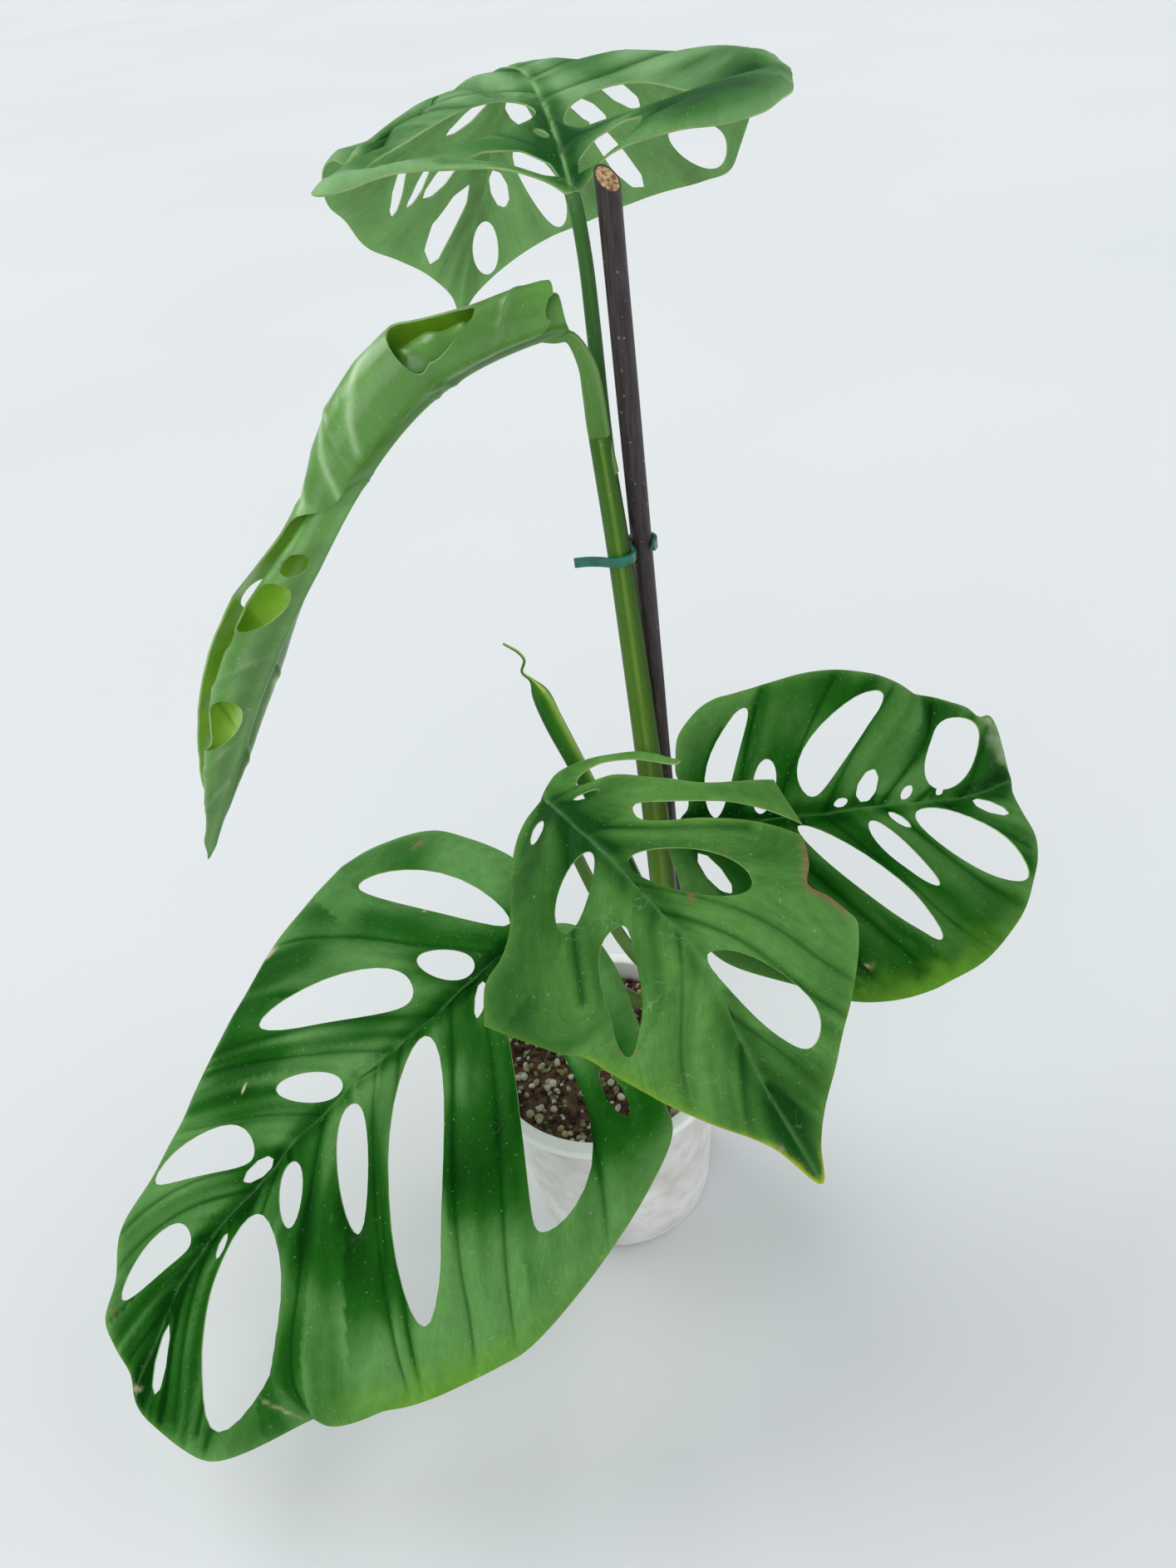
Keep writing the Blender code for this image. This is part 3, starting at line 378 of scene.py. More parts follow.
def vein_axes(rows, edge):
    """Lines that run out through the windows of one side, from the midrib to the margin."""
    longest_run, least_apart, last_at = 60, 10, 0.93
    length = edge[:, 0].max()
    reach = np.array([[p[0], abs(p[1])] for p in edge])
    axes = []
    for (a, b), (c, d), _, _, bow in rows:
        root, tip = np.array([a, b], float), np.array([c, max(d, b + 1)], float)
        way = (tip - root) / np.linalg.norm(tip - root)
        start = root - way * (b / max(way[1], 0.35))
        start[1] = 0
        end = tip.copy()
        while inside(np.array([end]), reach)[0] and np.linalg.norm(end - tip) < longest_run:
            end += way * 2
        u = np.linspace(0, 1, 13)[:, None]
        bend = np.array([-way[1], way[0]]) * bow
        axes.append((start[0], np.linalg.norm(tip - root),
                     start + (end - start) * u + bend * 4 * u * (1 - u)))
    axes.sort(key=lambda axis: axis[0])
    kept = []
    for axis in axes:
        if kept and axis[0] - kept[-1][0] < least_apart:
            if axis[1] > kept[-1][1]:
                kept[-1] = axis
        else:
            kept.append(axis)
    u = np.linspace(0, 1, 13)[:, None]
    low = reach[np.argmin(reach[:, 0])]
    first = (0.0, 0, low * u)
    near_tip = length * last_at
    last = (near_tip, 0, np.array([near_tip, 0]) + np.array([length * 0.07, 1]) * u)
    return [first] + kept + [last]


def laterals(shape, edge):
    """The side veins: curves midway between neighbouring window lines, both sides signed."""
    wide_field = 34
    veins = []
    for side, rows in ((1, shape["windows_right"]), (-1, shape["windows_left"])):
        half = edge[edge[:, 1] * side >= 0] * (1, side)
        size = shape["size"]
        scaled = [((a * size, b * size), (c * size, d * size), w * size, belly, bow * size)
                  for (a, b), (c, d), w, belly, bow in rows]
        axes = vein_axes(scaled, np.vstack([half, [half[-1][0], 0]]))
        for one, two in zip(axes, axes[1:]):
            parts = 2 if two[0] - one[0] < wide_field else 3
            for k in range(1, parts):
                share = k / parts
                veins.append((one[2] * (1 - share) + two[2] * share) * (1, side))
    return veins


def to_lines(points, lines):
    """Distance from each point to each line, as an array of points by lines."""
    out = np.full((len(points), len(lines)), 1e9)
    for k, line in enumerate(lines):
        for a, b in zip(line[:-1], line[1:]):
            run = b - a
            u = np.clip(((points - a) @ run) / max(run @ run, 1e-9), 0, 1)
            away = np.linalg.norm(points - (a + u[:, None] * run), axis=1)
            out[:, k] = np.minimum(out[:, k], away)
    return out


def to_rings(points, rings):
    """Distance from each point to the nearest of some closed rings."""
    return to_lines(points, [looped(ring) for ring in rings]).min(axis=1)


def waves(points, scale, seed, octaves=2):
    """Smooth noise from -1 to 1 at flat or 3-D points."""
    out = np.empty(len(points))
    for i, p in enumerate(points):
        z = p[2] / scale if len(p) > 2 else seed * 7.3
        out[i] = noise.fractal(Vector((p[0] / scale + seed, p[1] / scale - seed, z)), 1.0, 2.0,
                               octaves)
    return out


def rows_beside(line, start, step, offsets):
    """Points along a line and in rows beside it."""
    walk = walked(line)
    centre = between(np.arange(start, walk[-1], step), walk, line)
    if len(centre) < 2:
        return []
    run = np.gradient(centre, axis=0)
    run /= np.maximum(np.linalg.norm(run, axis=1), 1e-9)[:, None]
    across = np.column_stack([-run[:, 1], run[:, 0]])
    return [centre + across * k for k in offsets]


def fine_blade(edge, holes, veins, ribs, spacing, marks):
    """Fine triangles of the flat blade, with rows of points along veins, rims and small marks."""
    vein_clear, midrib_clear, rim_clear, least_apart, mark_step = 2.4, 2.6, 0.55, 0.3, 0.45
    low, high = edge.min(axis=0), edge.max(axis=0)
    step = spacing * 0.87
    rows = np.arange(-round(-low[1] / step), round(high[1] / step) + 1)
    lattice = np.array([(x + (row % 2) * spacing / 2, row * step)
                        for row in rows for x in np.arange(low[0], high[0], spacing)])
    lattice = lattice[inside(lattice, edge)]
    lattice = lattice[to_lines(lattice, veins).min(axis=1) > vein_clear]
    lattice = lattice[np.abs(lattice[:, 1]) > midrib_clear]
    along = []
    for line in veins:
        along += rows_beside(smooth(line, 6), 3.0, spacing * 0.8,
                             (0, 0.4, -0.4, 1.0, -1.0, 1.9, -1.9))
    midrib = np.array([[low[0] + 1, 0.0], [high[0] - 1, 0.0]])
    along += rows_beside(midrib, 0.0, spacing * 0.8, (0, 0.45, -0.45, 1.0, -1.0, 2.0, -2.0))
    for line in ribs:
        along += rows_beside(line, 0.0, spacing, (0, 0.8, -0.8, 1.6, -1.6))
    for ring in [edge] + holes:
        along += rows_beside(looped(ring), 0.0, 1.3, (0.8, -0.8))
    for place, reach in marks:
        fine = np.arange(-reach, reach, mark_step)
        along.append(np.array([(place[0] + a, place[1] + b) for a in fine for b in fine]))
    guide = np.vstack(along)
    guide = guide[inside(guide, edge)]
    points = np.vstack([lattice, guide])
    for ring in holes:
        near = np.ptp(ring, axis=0).max()
        close = np.linalg.norm(points - ring.mean(axis=0), axis=1) < near
        hit = np.zeros(len(points), bool)
        hit[close] = inside(points[close], ring)
        points = points[~hit]
    points = points[to_rings(points, [edge] + holes) > rim_clear]
    cell = np.round(points / least_apart).astype(int)
    _, first = np.unique(cell, axis=0, return_index=True)
    points = points[np.sort(first)]
    verts, edges = [], []
    for ring in [edge] + holes:
        start = len(verts)
        verts += [Vector(p) for p in ring]
        edges += [(start + i, start + (i + 1) % len(ring)) for i in range(len(ring))]
    verts += [Vector(p) for p in points]
    places, _, faces, *_ = delaunay_2d_cdt(verts, edges, [], 0, 1e-4)
    flat = np.array([tuple(p) for p in places])
    faces = np.array([tuple(f) for f in faces])
    middle = flat[faces].mean(axis=1)
    keep = inside(middle, edge)
    for ring in holes:
        keep &= ~inside(middle, ring)
    faces = faces[keep]
    used = np.unique(faces)
    index = np.full(len(flat), -1)
    index[used] = np.arange(len(used))
    return flat[used], index[faces]


def closed_ring(ring, step):
    """A closed ring with evenly spaced points."""
    loop = looped(ring)
    walk = walked(loop)
    count = max(12, int(round(walk[-1] / step)))
    return between(np.linspace(0, walk[-1], count, endpoint=False), walk, loop)


def linked(name, data):
    """A new object of the scene that holds the data."""
    made = bpy.data.objects.new(name, data)
    bpy.context.scene.collection.objects.link(made)
    return made


def mesh_object(name, points, faces, paint=None, uv=None, slots=None):
    """One mesh piece from arrays in millimetres, with its colours and flat coordinates."""
    mesh = bpy.data.meshes.new(name)
    mesh.from_pydata((np.asarray(points) * MM).tolist(), [], [list(f) for f in faces])
    if paint is not None:
        layer = mesh.color_attributes.new("Paint", "FLOAT_COLOR", "POINT")
        colour = np.ones((len(points), 4), np.float32)
        colour[:, :paint.shape[1]] = paint
        layer.data.foreach_set("color", colour.ravel())
    if uv is not None:
        layer = mesh.uv_layers.new(name="Flat")
        corner = np.empty(len(mesh.loops), np.int32)
        mesh.loops.foreach_get("vertex_index", corner)
        layer.data.foreach_set("uv", np.asarray(uv, np.float32)[corner].ravel())
    if slots is not None:
        mesh.polygons.foreach_set("material_index", np.asarray(slots, np.int32))
    mesh.shade_smooth()
    return linked(name, mesh)


def settle(piece, node, slot, sharp, *materials):
    """Gives a piece its materials and its place in the frame; sharp is a hard edge's angle."""
    if sharp:
        piece.data.set_sharp_from_angle(angle=math.radians(sharp))
    for material in materials:
        piece.data.materials.append(material)
    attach(piece, "root")
    if node:
        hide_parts(node)


def turns(sides):
    """Angles of evenly spaced points round a ring."""
    return np.arange(sides) * 2 * math.pi / sides


def band(first, second, sides, flip=False):
    """Faces between two rings of points, numbered from first and from second."""
    pairs = [(k, (k + 1) % sides) for k in range(sides)]
    if flip:
        return [(first + k, second + k, second + j, first + j) for k, j in pairs]
    return [(first + k, first + j, second + j, second + k) for k, j in pairs]


def cap(first, sides):
    """One face over a ring of points, numbered from first."""
    return tuple(range(first, first + sides))


def bell(distance, width):
    """1 at no distance, falling smoothly to 0 past the width."""
    return np.exp(-(distance / width)**2)


def rise(distance, width):
    """0 at no distance, rising smoothly to 1 past the width."""
    return 1 - np.exp(-(distance / width)**1.3)


def blend_colour(base, colour, share):
    """Mix a colour into rows of colours by a share per row."""
    share = np.clip(share, 0, 1)[:, None]
    return base * (1 - share) + np.array(colour) * share


def nearest_vein(flat, side, veins):
    """For each point: how far the nearest side vein is, and a measure that runs with the veins."""
    away = to_lines(flat, veins)
    away[(side[:, None] * np.array([line[:, 1].sum() for line in veins])) < 0] = 1e3
    order = np.argsort(away, axis=1)[:, :2]
    near, next_one = np.take_along_axis(away, order, 1).T
    roots = np.array([line[0, 0] for line in veins])[order].T
    return near, (roots[0] * next_one + roots[1] * near) / np.maximum(near + next_one, 1e-6)


def surface(sheet, x, y, side):
    """Places of flat points on the bent sheet, and its upward directions there."""
    h = 0.4
    p = sheet.at(x, y)
    n = np.cross((sheet.at(x, y + side * h) - p) * side[:, None], sheet.at(x + h, y) - p)
    return p, unit(n)


def two_faced(faces, count):
    """Faces of a blade: the upper and the lower triangles and the rim, with their slots."""
    sides = np.vstack([faces[:, [0, 1]], faces[:, [1, 2]], faces[:, [2, 0]]])
    _, where, times = np.unique(np.sort(sides, axis=1), axis=0, return_inverse=True,
                                return_counts=True)
    border = sides[times[where.ravel()] == 1]
    rim = [(a, b, b + count, a + count) for a, b in border]
    made = [tuple(f) for f in faces[:, ::-1]] + [tuple(f) for f in faces + count] + rim
    return made, [0] * len(faces) + [1] * len(faces) + [2] * len(rim)


def patch_share(x, y, place, size, power, grain):
    """How much a mark covers each point; size is its reach, or along, across and turn."""
    along, over, turn = size if np.ndim(size) else (size, size, 0)
    c, k = math.cos(math.radians(turn)), math.sin(math.radians(turn))
    x, y = x - place[0], y - place[1]
    far = np.hypot((x * c + y * k) / along, (y * c - x * k) / over)
    return power * np.clip(1.6 * (1 - far) + 0.5 * grain * (far < 1.3), 0, 1)


def paint_leaf(flat, look, side, near, along, margin, strength, creases):
    """Colours of the upper face and of the underside, by place, with painted light and painted shade."""
    x, y = flat.T
    along_veins = np.column_stack([along + 7 * side, np.abs(y) * 0.2])
    # Tone by place: random variation over the blade and along the veins, painted shade close to the side
    # veins where they sink, the leaf's own painted light and shade, lighter along the margin and away
    # from the midrib, and painted shade beside the sunken midrib.
    level = 0.5 + 0.5 * waves(flat, 46, 1.7, 2) + 0.45 * waves(along_veins, 8, 4.4, 2)
    level += 0.3 * rise(near, 1.6) - 0.2 + look["shade"](x, y)
    level += 0.25 * bell(margin, 4.0) + 0.15 * np.clip(np.abs(y) / 30, 0, 1)
    level -= 0.4 * bell(np.abs(y) - 2.2, 3.0)
    # The tone runs from dark through colour to light: the leaf's own tone, with painted shade at the
    # dark end and painted light at the light end.
    paint = np.tile(np.array(look["dark"]), (len(flat), 1))
    paint = blend_colour(paint, look["colour"], 2 * level)
    paint = blend_colour(paint, look["light"], 2 * level - 1)
    paint = blend_colour(paint, look["dark"], 0.42 * bell(near, 0.6) * strength)
    paint = blend_colour(paint, look["rib"], 0.7 * bell(y, 0.45))
    pale = np.tile(np.array(look["under"]), (len(flat), 1))
    pale = blend_colour(pale, look["rib"], 0.8 * bell(y, 2.0) + 0.5 * bell(near, 0.9))
    # The underside is made lighter and darker by the same tone, painted light and shade included.
    pale *= 0.72 + 0.5 * np.clip(level, 0, 1)[:, None]
    # Colours along the folds: painted highlight on the rolled leaf's pale lines, painted shade in its
    # inner ribs.
    for share, colour in creases:
        paint = blend_colour(paint, colour, share)
        pale = blend_colour(pale, colour, share)
    grain = waves(flat, 5, 8.3, 3)
    for place, size, colour, power in look["patches"]:
        share = patch_share(x, y, place, size, power, grain)
        paint = blend_colour(paint, colour, share)
        pale = blend_colour(pale, colour, share * 0.7)
    for colour, power, width, where in look["hems"]:
        paint = blend_colour(paint, colour,
                             power * bell(margin, width * (1 + 0.6 * grain)) * where(x, y))
    return paint, pale


def build_leaf(name, node, shape, look, spacing):
    """One leaf: bent blade with sunken veins above and raised ones below, painted by place."""
    sheet = Sheet(shape)
    edge_step, hole_step, least_half, sharp = 1.6, 1.2, 0.28, 55
    edge, holes = outlines(shape, sheet.length, 8, 28)
    edge = closed_ring(edge, edge_step)
    holes = [closed_ring(ring, hole_step) for ring in holes]
    veins = laterals(shape, edge)
    marks = [(place, 1.3 * np.max(size)) for place, size, _, _ in look["patches"]
             if np.max(size) < SMALL_MARK]
    ribs = [smooth(line, 8) for line, _, width, _ in look["folds"] if width < THIN_FOLD]
    flat, faces = fine_blade(edge, holes, veins, ribs, spacing, marks)
    x, y = flat.T
    side = np.where(y >= 0, 1, -1)
    near, along = nearest_vein(flat, side, veins)
    rim = to_rings(flat, [edge] + holes)
    margin = to_rings(flat, [edge])
    taper = np.clip(1 - x / sheet.length, 0, 1)
    strength = np.clip(margin / 10, 0.15, 1)

    p, n = surface(sheet, x, y, side)
    swell = look["pucker"] * rise(near, 6.0) * np.clip(rim / 4, 0, 1)
    creases = []
    for line, depth, width, colour in look["folds"]:
        fold = bell(to_lines(flat, [smooth(line, 8)])[:, 0], width)
        swell -= depth * fold
        # A fold's colour is painted along it: painted highlight or painted shade.
        if colour:
            creases.append((0.6 * fold, colour))
    swell += look["wave"] * waves(flat, 34, 3.1) * np.clip(1 - margin / 45, 0.15, 1)
    groove = 0.5 * bell(y, 0.8) + 0.16 * strength * bell(near, 0.6)
    keel = (0.9 + 1.3 * taper) * bell(y, 0.9 + 0.9 * taper) + 0.35 * strength * bell(near, 0.7)
    half = least_half + 0.1 * np.clip(rim / 1.5, 0, 1)
    room = (CEILING - p[:, 2]) / np.maximum(np.abs(n[:, 2]), 0.2) - half
    swell = np.where(n[:, 2] > 0, np.minimum(swell, room), np.maximum(swell, -room))
    top = p + n * (swell + half - groove * np.clip(rim / 1.2, 0, 1))[:, None]
    underside = p + n * (swell - half - keel * np.clip(rim / 1.5, 0, 1))[:, None]

    all_faces, slots = two_faced(faces, len(flat))
    paint = paint_leaf(flat, look, side, near, along, margin, strength, creases)
    uv = np.column_stack([along / 100, np.abs(y) / 100])
    piece = mesh_object(name, np.vstack([top, underside]), all_faces, np.vstack(paint),
                        np.vstack([uv, uv]), slots)
    settle(piece, node, look["slot"], sharp, *look["materials"])


def main_stem_form(turn, walk, span):
    """The main stem: ridges, and a ring where each stalk leaves."""
    swell = sum(0.06 * bell(walk + STEM[0][2] - plan["leaves_at"], 2.4)
                for plan in (SIDE_PETIOLE, FRONT_PETIOLE, LOW_PETIOLE, NEW_SHOOT))
    return 0.985 + 0.02 * np.cos(3 * turn + 0.8) + 0.008 * np.cos(9 * turn) + swell


def grooved(turn, walk, span):
    """A stalk with a channel along one side."""
    return 1 - 0.14 * bell(turn - math.pi / 2, 0.5)


def sheath(turn, walk, span):
    """The young sheath: wider at its free edge, and flattened."""
    share = walk / span
    return 1 + 0.16 * bell(turn - 2.9, 0.35) * np.clip((TIP_STARTS - share) / 0.05, 0, 1)


def tube(name, rows, node, material, paint, sides=28, step=2.0, shape=grooved, slot="stem"):
    """A stem along a smooth route. shape gives the share of the radius by turn and walk."""
    route = smooth(rows, 16)
    walk = walked(route[:, :3])
    at = np.linspace(0, walk[-1], max(8, int(walk[-1] / step)))
    line = between(at, walk, route)
    t = unit(np.gradient(line[:, :3], axis=0))
    first = np.cross(t[0], (0.3, 1.0, 0.1))
    a = first / np.linalg.norm(first)
    turn = turns(sides)
    points, colours, uv = [], [], []
    for i, (place, way) in enumerate(zip(line, t)):
        a = a - (a @ way) * way
        a /= np.linalg.norm(a)
        b = np.cross(way, a)
        share = shape(turn, at[i], walk[-1])
        points.append(place[:3] + place[3] * share[:, None] * (np.cos(turn)[:, None] * a
                                                               + np.sin(turn)[:, None] * b))
        colours.append(paint(turn, at[i] / walk[-1]))
        uv.append(np.column_stack([turn / (2 * math.pi), np.full(sides, at[i] / 100)]))
    faces = []
    for i in range(len(line) - 1):
        faces += band(i * sides, (i + 1) * sides, sides)
    faces += [cap(0, sides)[::-1], cap((len(line) - 1) * sides, sides)]
    piece = mesh_object(name, np.vstack(points), faces, np.vstack(colours), np.vstack(uv))
    settle(piece, node, slot, 60, material)


def stem_at(height):
    """The stem's centre and radius at a height."""
    route = smooth(STEM)
    return tuple(np.interp(height, route[:, 2], route[:, k]) for k in (0, 1, 3))


def grown_from(plan):
    """The first points of a stalk: it starts inside the stem and leaves it square."""
    height, heading = plan["leaves_at"], math.radians(plan["heading"])
    x, y, around = stem_at(height)
    way = np.array([math.cos(heading), math.sin(heading), 0.12])
    start = np.array([x, y, height])
    thick = plan["thick"]
    return [(*(start + way * (around - 1.6) - (0, 0, 1.0)), thick * 1.45),
            (*(start + way * (around + 0.4)), thick * 1.2),
            (*(start + way * (around + 0.4 + 0.7 * thick)), thick * 1.03)]


def under(shape, radius, reach=9.0):
    """The last points of a stalk, which runs out along the underside of its leaf's midrib."""
    c, _, _, n = Sheet(shape).frame(np.array([-0.5, 4.0, reach]))
    low = np.array([radius + 0.75, radius * 0.9 + 0.55, radius * 0.55 + 0.3])[:, None]
    sizes = (radius, radius * 0.92, radius * 0.6)
    return [(*p, size) for p, size in zip(c - n * low, sizes)]


class Finish:
    """A material being made: its shader, its coordinates and the nodes that feed it."""

    def __init__(self, name, roughness, specular=0.5, subsurface=0.0, coat=0.0, reach=None):
        self.material = bpy.data.materials.new(name)
        self.material.use_nodes = True
        tree = self.material.node_tree
        self.nodes, self.link = tree.nodes, tree.links.new
        self.sockets = tree.nodes["Principled BSDF"].inputs
        values = {"Roughness": roughness, "Specular IOR Level": specular,
                  "Subsurface Weight": subsurface, "Subsurface Scale": 0.002, "Coat Weight": coat}
        if reach:
            values["Subsurface Radius"] = reach
        for socket, value in values.items():
            self.sockets[socket].default_value = value
        place = self.add("TexCoord", {})
        self.there, self.uv = place["Object"], place["UV"]

    def add(self, kind, inputs, **settings):
        """A new node, its inputs set to values or linked to sockets; returns its outputs."""
        made = self.nodes.new("ShaderNode" + kind)
        for name, value in settings.items():
            setattr(made, name, value)
        for name, value in inputs.items():
            if isinstance(value, bpy.types.NodeSocket):
                self.link(value, made.inputs[name])
            else:
                made.inputs[name].default_value = value
        return made.outputs

    def noise(self, scale, detail=3.0):
        """Noise in space."""
        return self.add("TexNoise", {"Vector": self.there, "Scale": scale, "Detail": detail})["Fac"]

    def streaks(self, detail, *stretch):
        """Noise drawn out along the flat coordinates."""
        drawn = self.add("Mapping", {"Vector": self.uv, "Scale": (*stretch, 1)})["Vector"]
        return self.add("TexNoise", {"Vector": drawn, "Scale": 1.0, "Detail": detail})["Fac"]

    def paint(self):
        """The colour painted on the piece's points."""
        return self.add("Attribute", {}, attribute_name="Paint")["Color"]

    def ramp(self, value, low, high, start=0.3, stop=0.7):
        """A colour ramp between two colours."""
        made = self.nodes.new("ShaderNodeValToRGB")
        ends = made.color_ramp.elements
        ends[0].position, ends[1].position = start, stop
        ends[0].color, ends[1].color = (*low, 1), (*high, 1)
        self.link(value, made.inputs["Fac"])
        return made.outputs["Color"]

    def mix(self, kind, share, one, two):
        """A mix of two colours."""
        return self.add("Mix", {"Factor": share, "A": one, "B": two}, data_type="RGBA",
                        blend_type=kind)["Result"]

    def bump(self, *heights):
        """Chained bumps: rows of a height socket, its strength and its distance in millimetres."""
        chain = {}
        for value, strength, distance in heights:
            made = self.add("Bump", {"Strength": strength, "Distance": distance * MM,
                                     "Height": value, **chain})
            chain = {"Normal": made["Normal"]}
        self.link(chain["Normal"], self.sockets["Normal"])

    def coloured(self, colour):
        """The material, ended with its colour."""
        self.link(colour, self.sockets["Base Color"])
        return self.material


def scratches(skin):
    """Thin wandering pale lines, only here and there."""
    line = skin.nodes.new("ShaderNodeValToRGB")
    row = line.color_ramp.elements
    row[0].position, row[1].position = 0.488, 0.512
    row.new(0.5).color = (1, 1, 1, 1)
    row[0].color = row[2].color = (0, 0, 0, 1)
    skin.link(skin.noise(150, 1.5), line.inputs["Fac"])
    here = skin.ramp(skin.noise(55, 2.0), BLACK, (0.13, 0.15, 0.12), 0.56, 0.66)
    return skin.mix("MULTIPLY", 1.0, line.outputs["Color"], here)


def leaf_material(name, roughness, subsurface, mottle=0.35, scratched=0.0, specular=0.16):
    """Living leaf: painted colour with fine streaks along the side veins and a net of cells."""
    skin = Finish(name, roughness, specular, subsurface, reach=(0.4, 1.0, 0.15))
    streak, mottled = skin.streaks(4.0, 160, 22), skin.noise(260, 4.0)
    cells = skin.add("TexVoronoi", {"Scale": 620, "Vector": skin.there}, feature="DISTANCE_TO_EDGE")
    colour = skin.mix("MULTIPLY", mottle, skin.paint(),
                      skin.ramp(streak, (0.62, 0.66, 0.6), WHITE, 0.32, 0.62))
    colour = skin.mix("MULTIPLY", mottle, colour,
                      skin.ramp(mottled, (0.7, 0.74, 0.66), WHITE, 0.3, 0.66))
    colour = skin.mix("SCREEN", 1.0, colour,
                      skin.ramp(skin.noise(900, 1.0), BLACK, (0.10, 0.12, 0.10), 0.72, 0.78))
    if scratched:
        colour = skin.mix("SCREEN", scratched, colour, scratches(skin))
    rough = skin.add("MapRange", {"Value": mottled, "To Min": roughness - 0.07,
                                  "To Max": roughness + 0.1})
    skin.link(rough["Result"], skin.sockets["Roughness"])
    skin.bump((streak, 0.35, 0.25), (cells["Distance"], 0.25, 0.12), (mottled, 0.2, 0.2))
    return skin.coloured(colour)


def rim_material():
    """The thin pale rim of a blade and of its windows."""
    rim = Finish("leaf rim", 0.5, 0.4, 0.1)
    return rim.coloured(rim.ramp(rim.noise(60), (0.16, 0.30, 0.10), (0.36, 0.50, 0.22)))


def stem_material(name, roughness=0.42):
    """Plant skin on stems: painted colour, long fine streaks and small pale pores."""
    skin = Finish(name, roughness, 0.15, 0.08, reach=(0.5, 1.0, 0.2))
    streak, pores = skin.streaks(4.0, 26, 5), skin.noise(700, 2.0)
    skin.bump((streak, 0.4, 0.2), (pores, 0.25, 0.1))
    colour = skin.mix("MULTIPLY", 0.5, skin.paint(),
                      skin.ramp(streak, (0.66, 0.72, 0.6), WHITE, 0.35, 0.62))
    return skin.coloured(skin.mix("SCREEN", 0.6, colour,
                                  skin.ramp(pores, BLACK, (0.16, 0.18, 0.10), 0.66, 0.76)))


def grain_material():
    """Painted grains and crumbs with a fine rough skin."""
    skin = Finish("grains", 0.85, 0.35)
    grain = skin.noise(800, 4.0)
    skin.bump((grain, 0.6, 0.3))
    return skin.coloured(skin.mix("MULTIPLY", 0.6, skin.paint(),
                                  skin.ramp(grain, (0.5, 0.47, 0.45), WHITE, 0.3, 0.65)))


def pot_material():
    """Frosted translucent plastic with the potting mix faintly seen through it."""
    shell = Finish("frosted plastic", 0.38, 0.5, 0.25, reach=(1.0, 0.95, 0.9))
    mix_seen = shell.ramp(shell.noise(38, 5.0), (0.62, 0.59, 0.56), (0.85, 0.84, 0.82), 0.3, 0.68)
    blotch = shell.ramp(shell.noise(120), (0.62, 0.56, 0.52), WHITE, 0.3, 0.55)
    mix_seen = shell.mix("MULTIPLY", 0.35, mix_seen, blotch)
    height = shell.add("SeparateXYZ", {"Vector": shell.there})["Z"]
    clear = shell.add("MapRange", {"From Min": (SOIL_TOP - 1) * MM, "From Max": (SOIL_TOP + 5) * MM,
                                   "Value": height})["Result"]
    shell.bump((shell.noise(420), 0.12, 0.15))
    return shell.coloured(shell.mix("MIX", clear, mix_seen, (0.90, 0.92, 0.90, 1)))


def soil_material():
    """Dark reddish-brown crumbs, darker in the hollows."""
    soil = Finish("potting mix", 0.9, 0.25)
    crumb, clod = soil.noise(330, 6.0), soil.noise(110)
    soil.bump((clod, 0.9, 2.0), (crumb, 1.0, 1.2))
    dark = soil.ramp(crumb, (0.012, 0.006, 0.005), (0.15, 0.07, 0.045), 0.35, 0.72)
    moss = soil.ramp(clod, (0.03, 0.014, 0.010), (0.10, 0.10, 0.035), 0.45, 0.75)
    return soil.coloured(soil.mix("SCREEN", 0.5, dark, moss))


def bark_material():
    """Dark purplish-brown bark with lengthwise grain and small pale specks."""
    bark = Finish("dark cane bark", 0.5, 0.45)
    grain, speck = bark.streaks(5.0, 22, 9), bark.noise(620, 2.0)
    bark.bump((grain, 0.7, 0.35), (speck, 0.5, 0.2))
    colour = bark.ramp(grain, (0.010, 0.007, 0.008), (0.052, 0.034, 0.036))
    return bark.coloured(bark.mix("SCREEN", 1.0, colour,
                                  bark.ramp(speck, BLACK, (0.28, 0.24, 0.22), 0.70, 0.78)))


def pith_material():
    """Crumbly tan pith at the cut end."""
    pith = Finish("pith", 0.9, 0.2)
    crumb = pith.noise(900, 5.0)
    pith.bump((crumb, 1.0, 0.8))
    return pith.coloured(pith.ramp(crumb, (0.16, 0.075, 0.028), (0.62, 0.42, 0.23), 0.36, 0.62))


def clip_material():
    """Glossy dark green plastic."""
    plastic = Finish("green plastic", 0.28, 0.5, 0.0, 0.2)
    cloud = plastic.noise(300)
    plastic.bump((cloud, 0.15, 0.1))
    return plastic.coloured(plastic.ramp(cloud, (0.0, 0.085, 0.05), (0.004, 0.17, 0.10)))


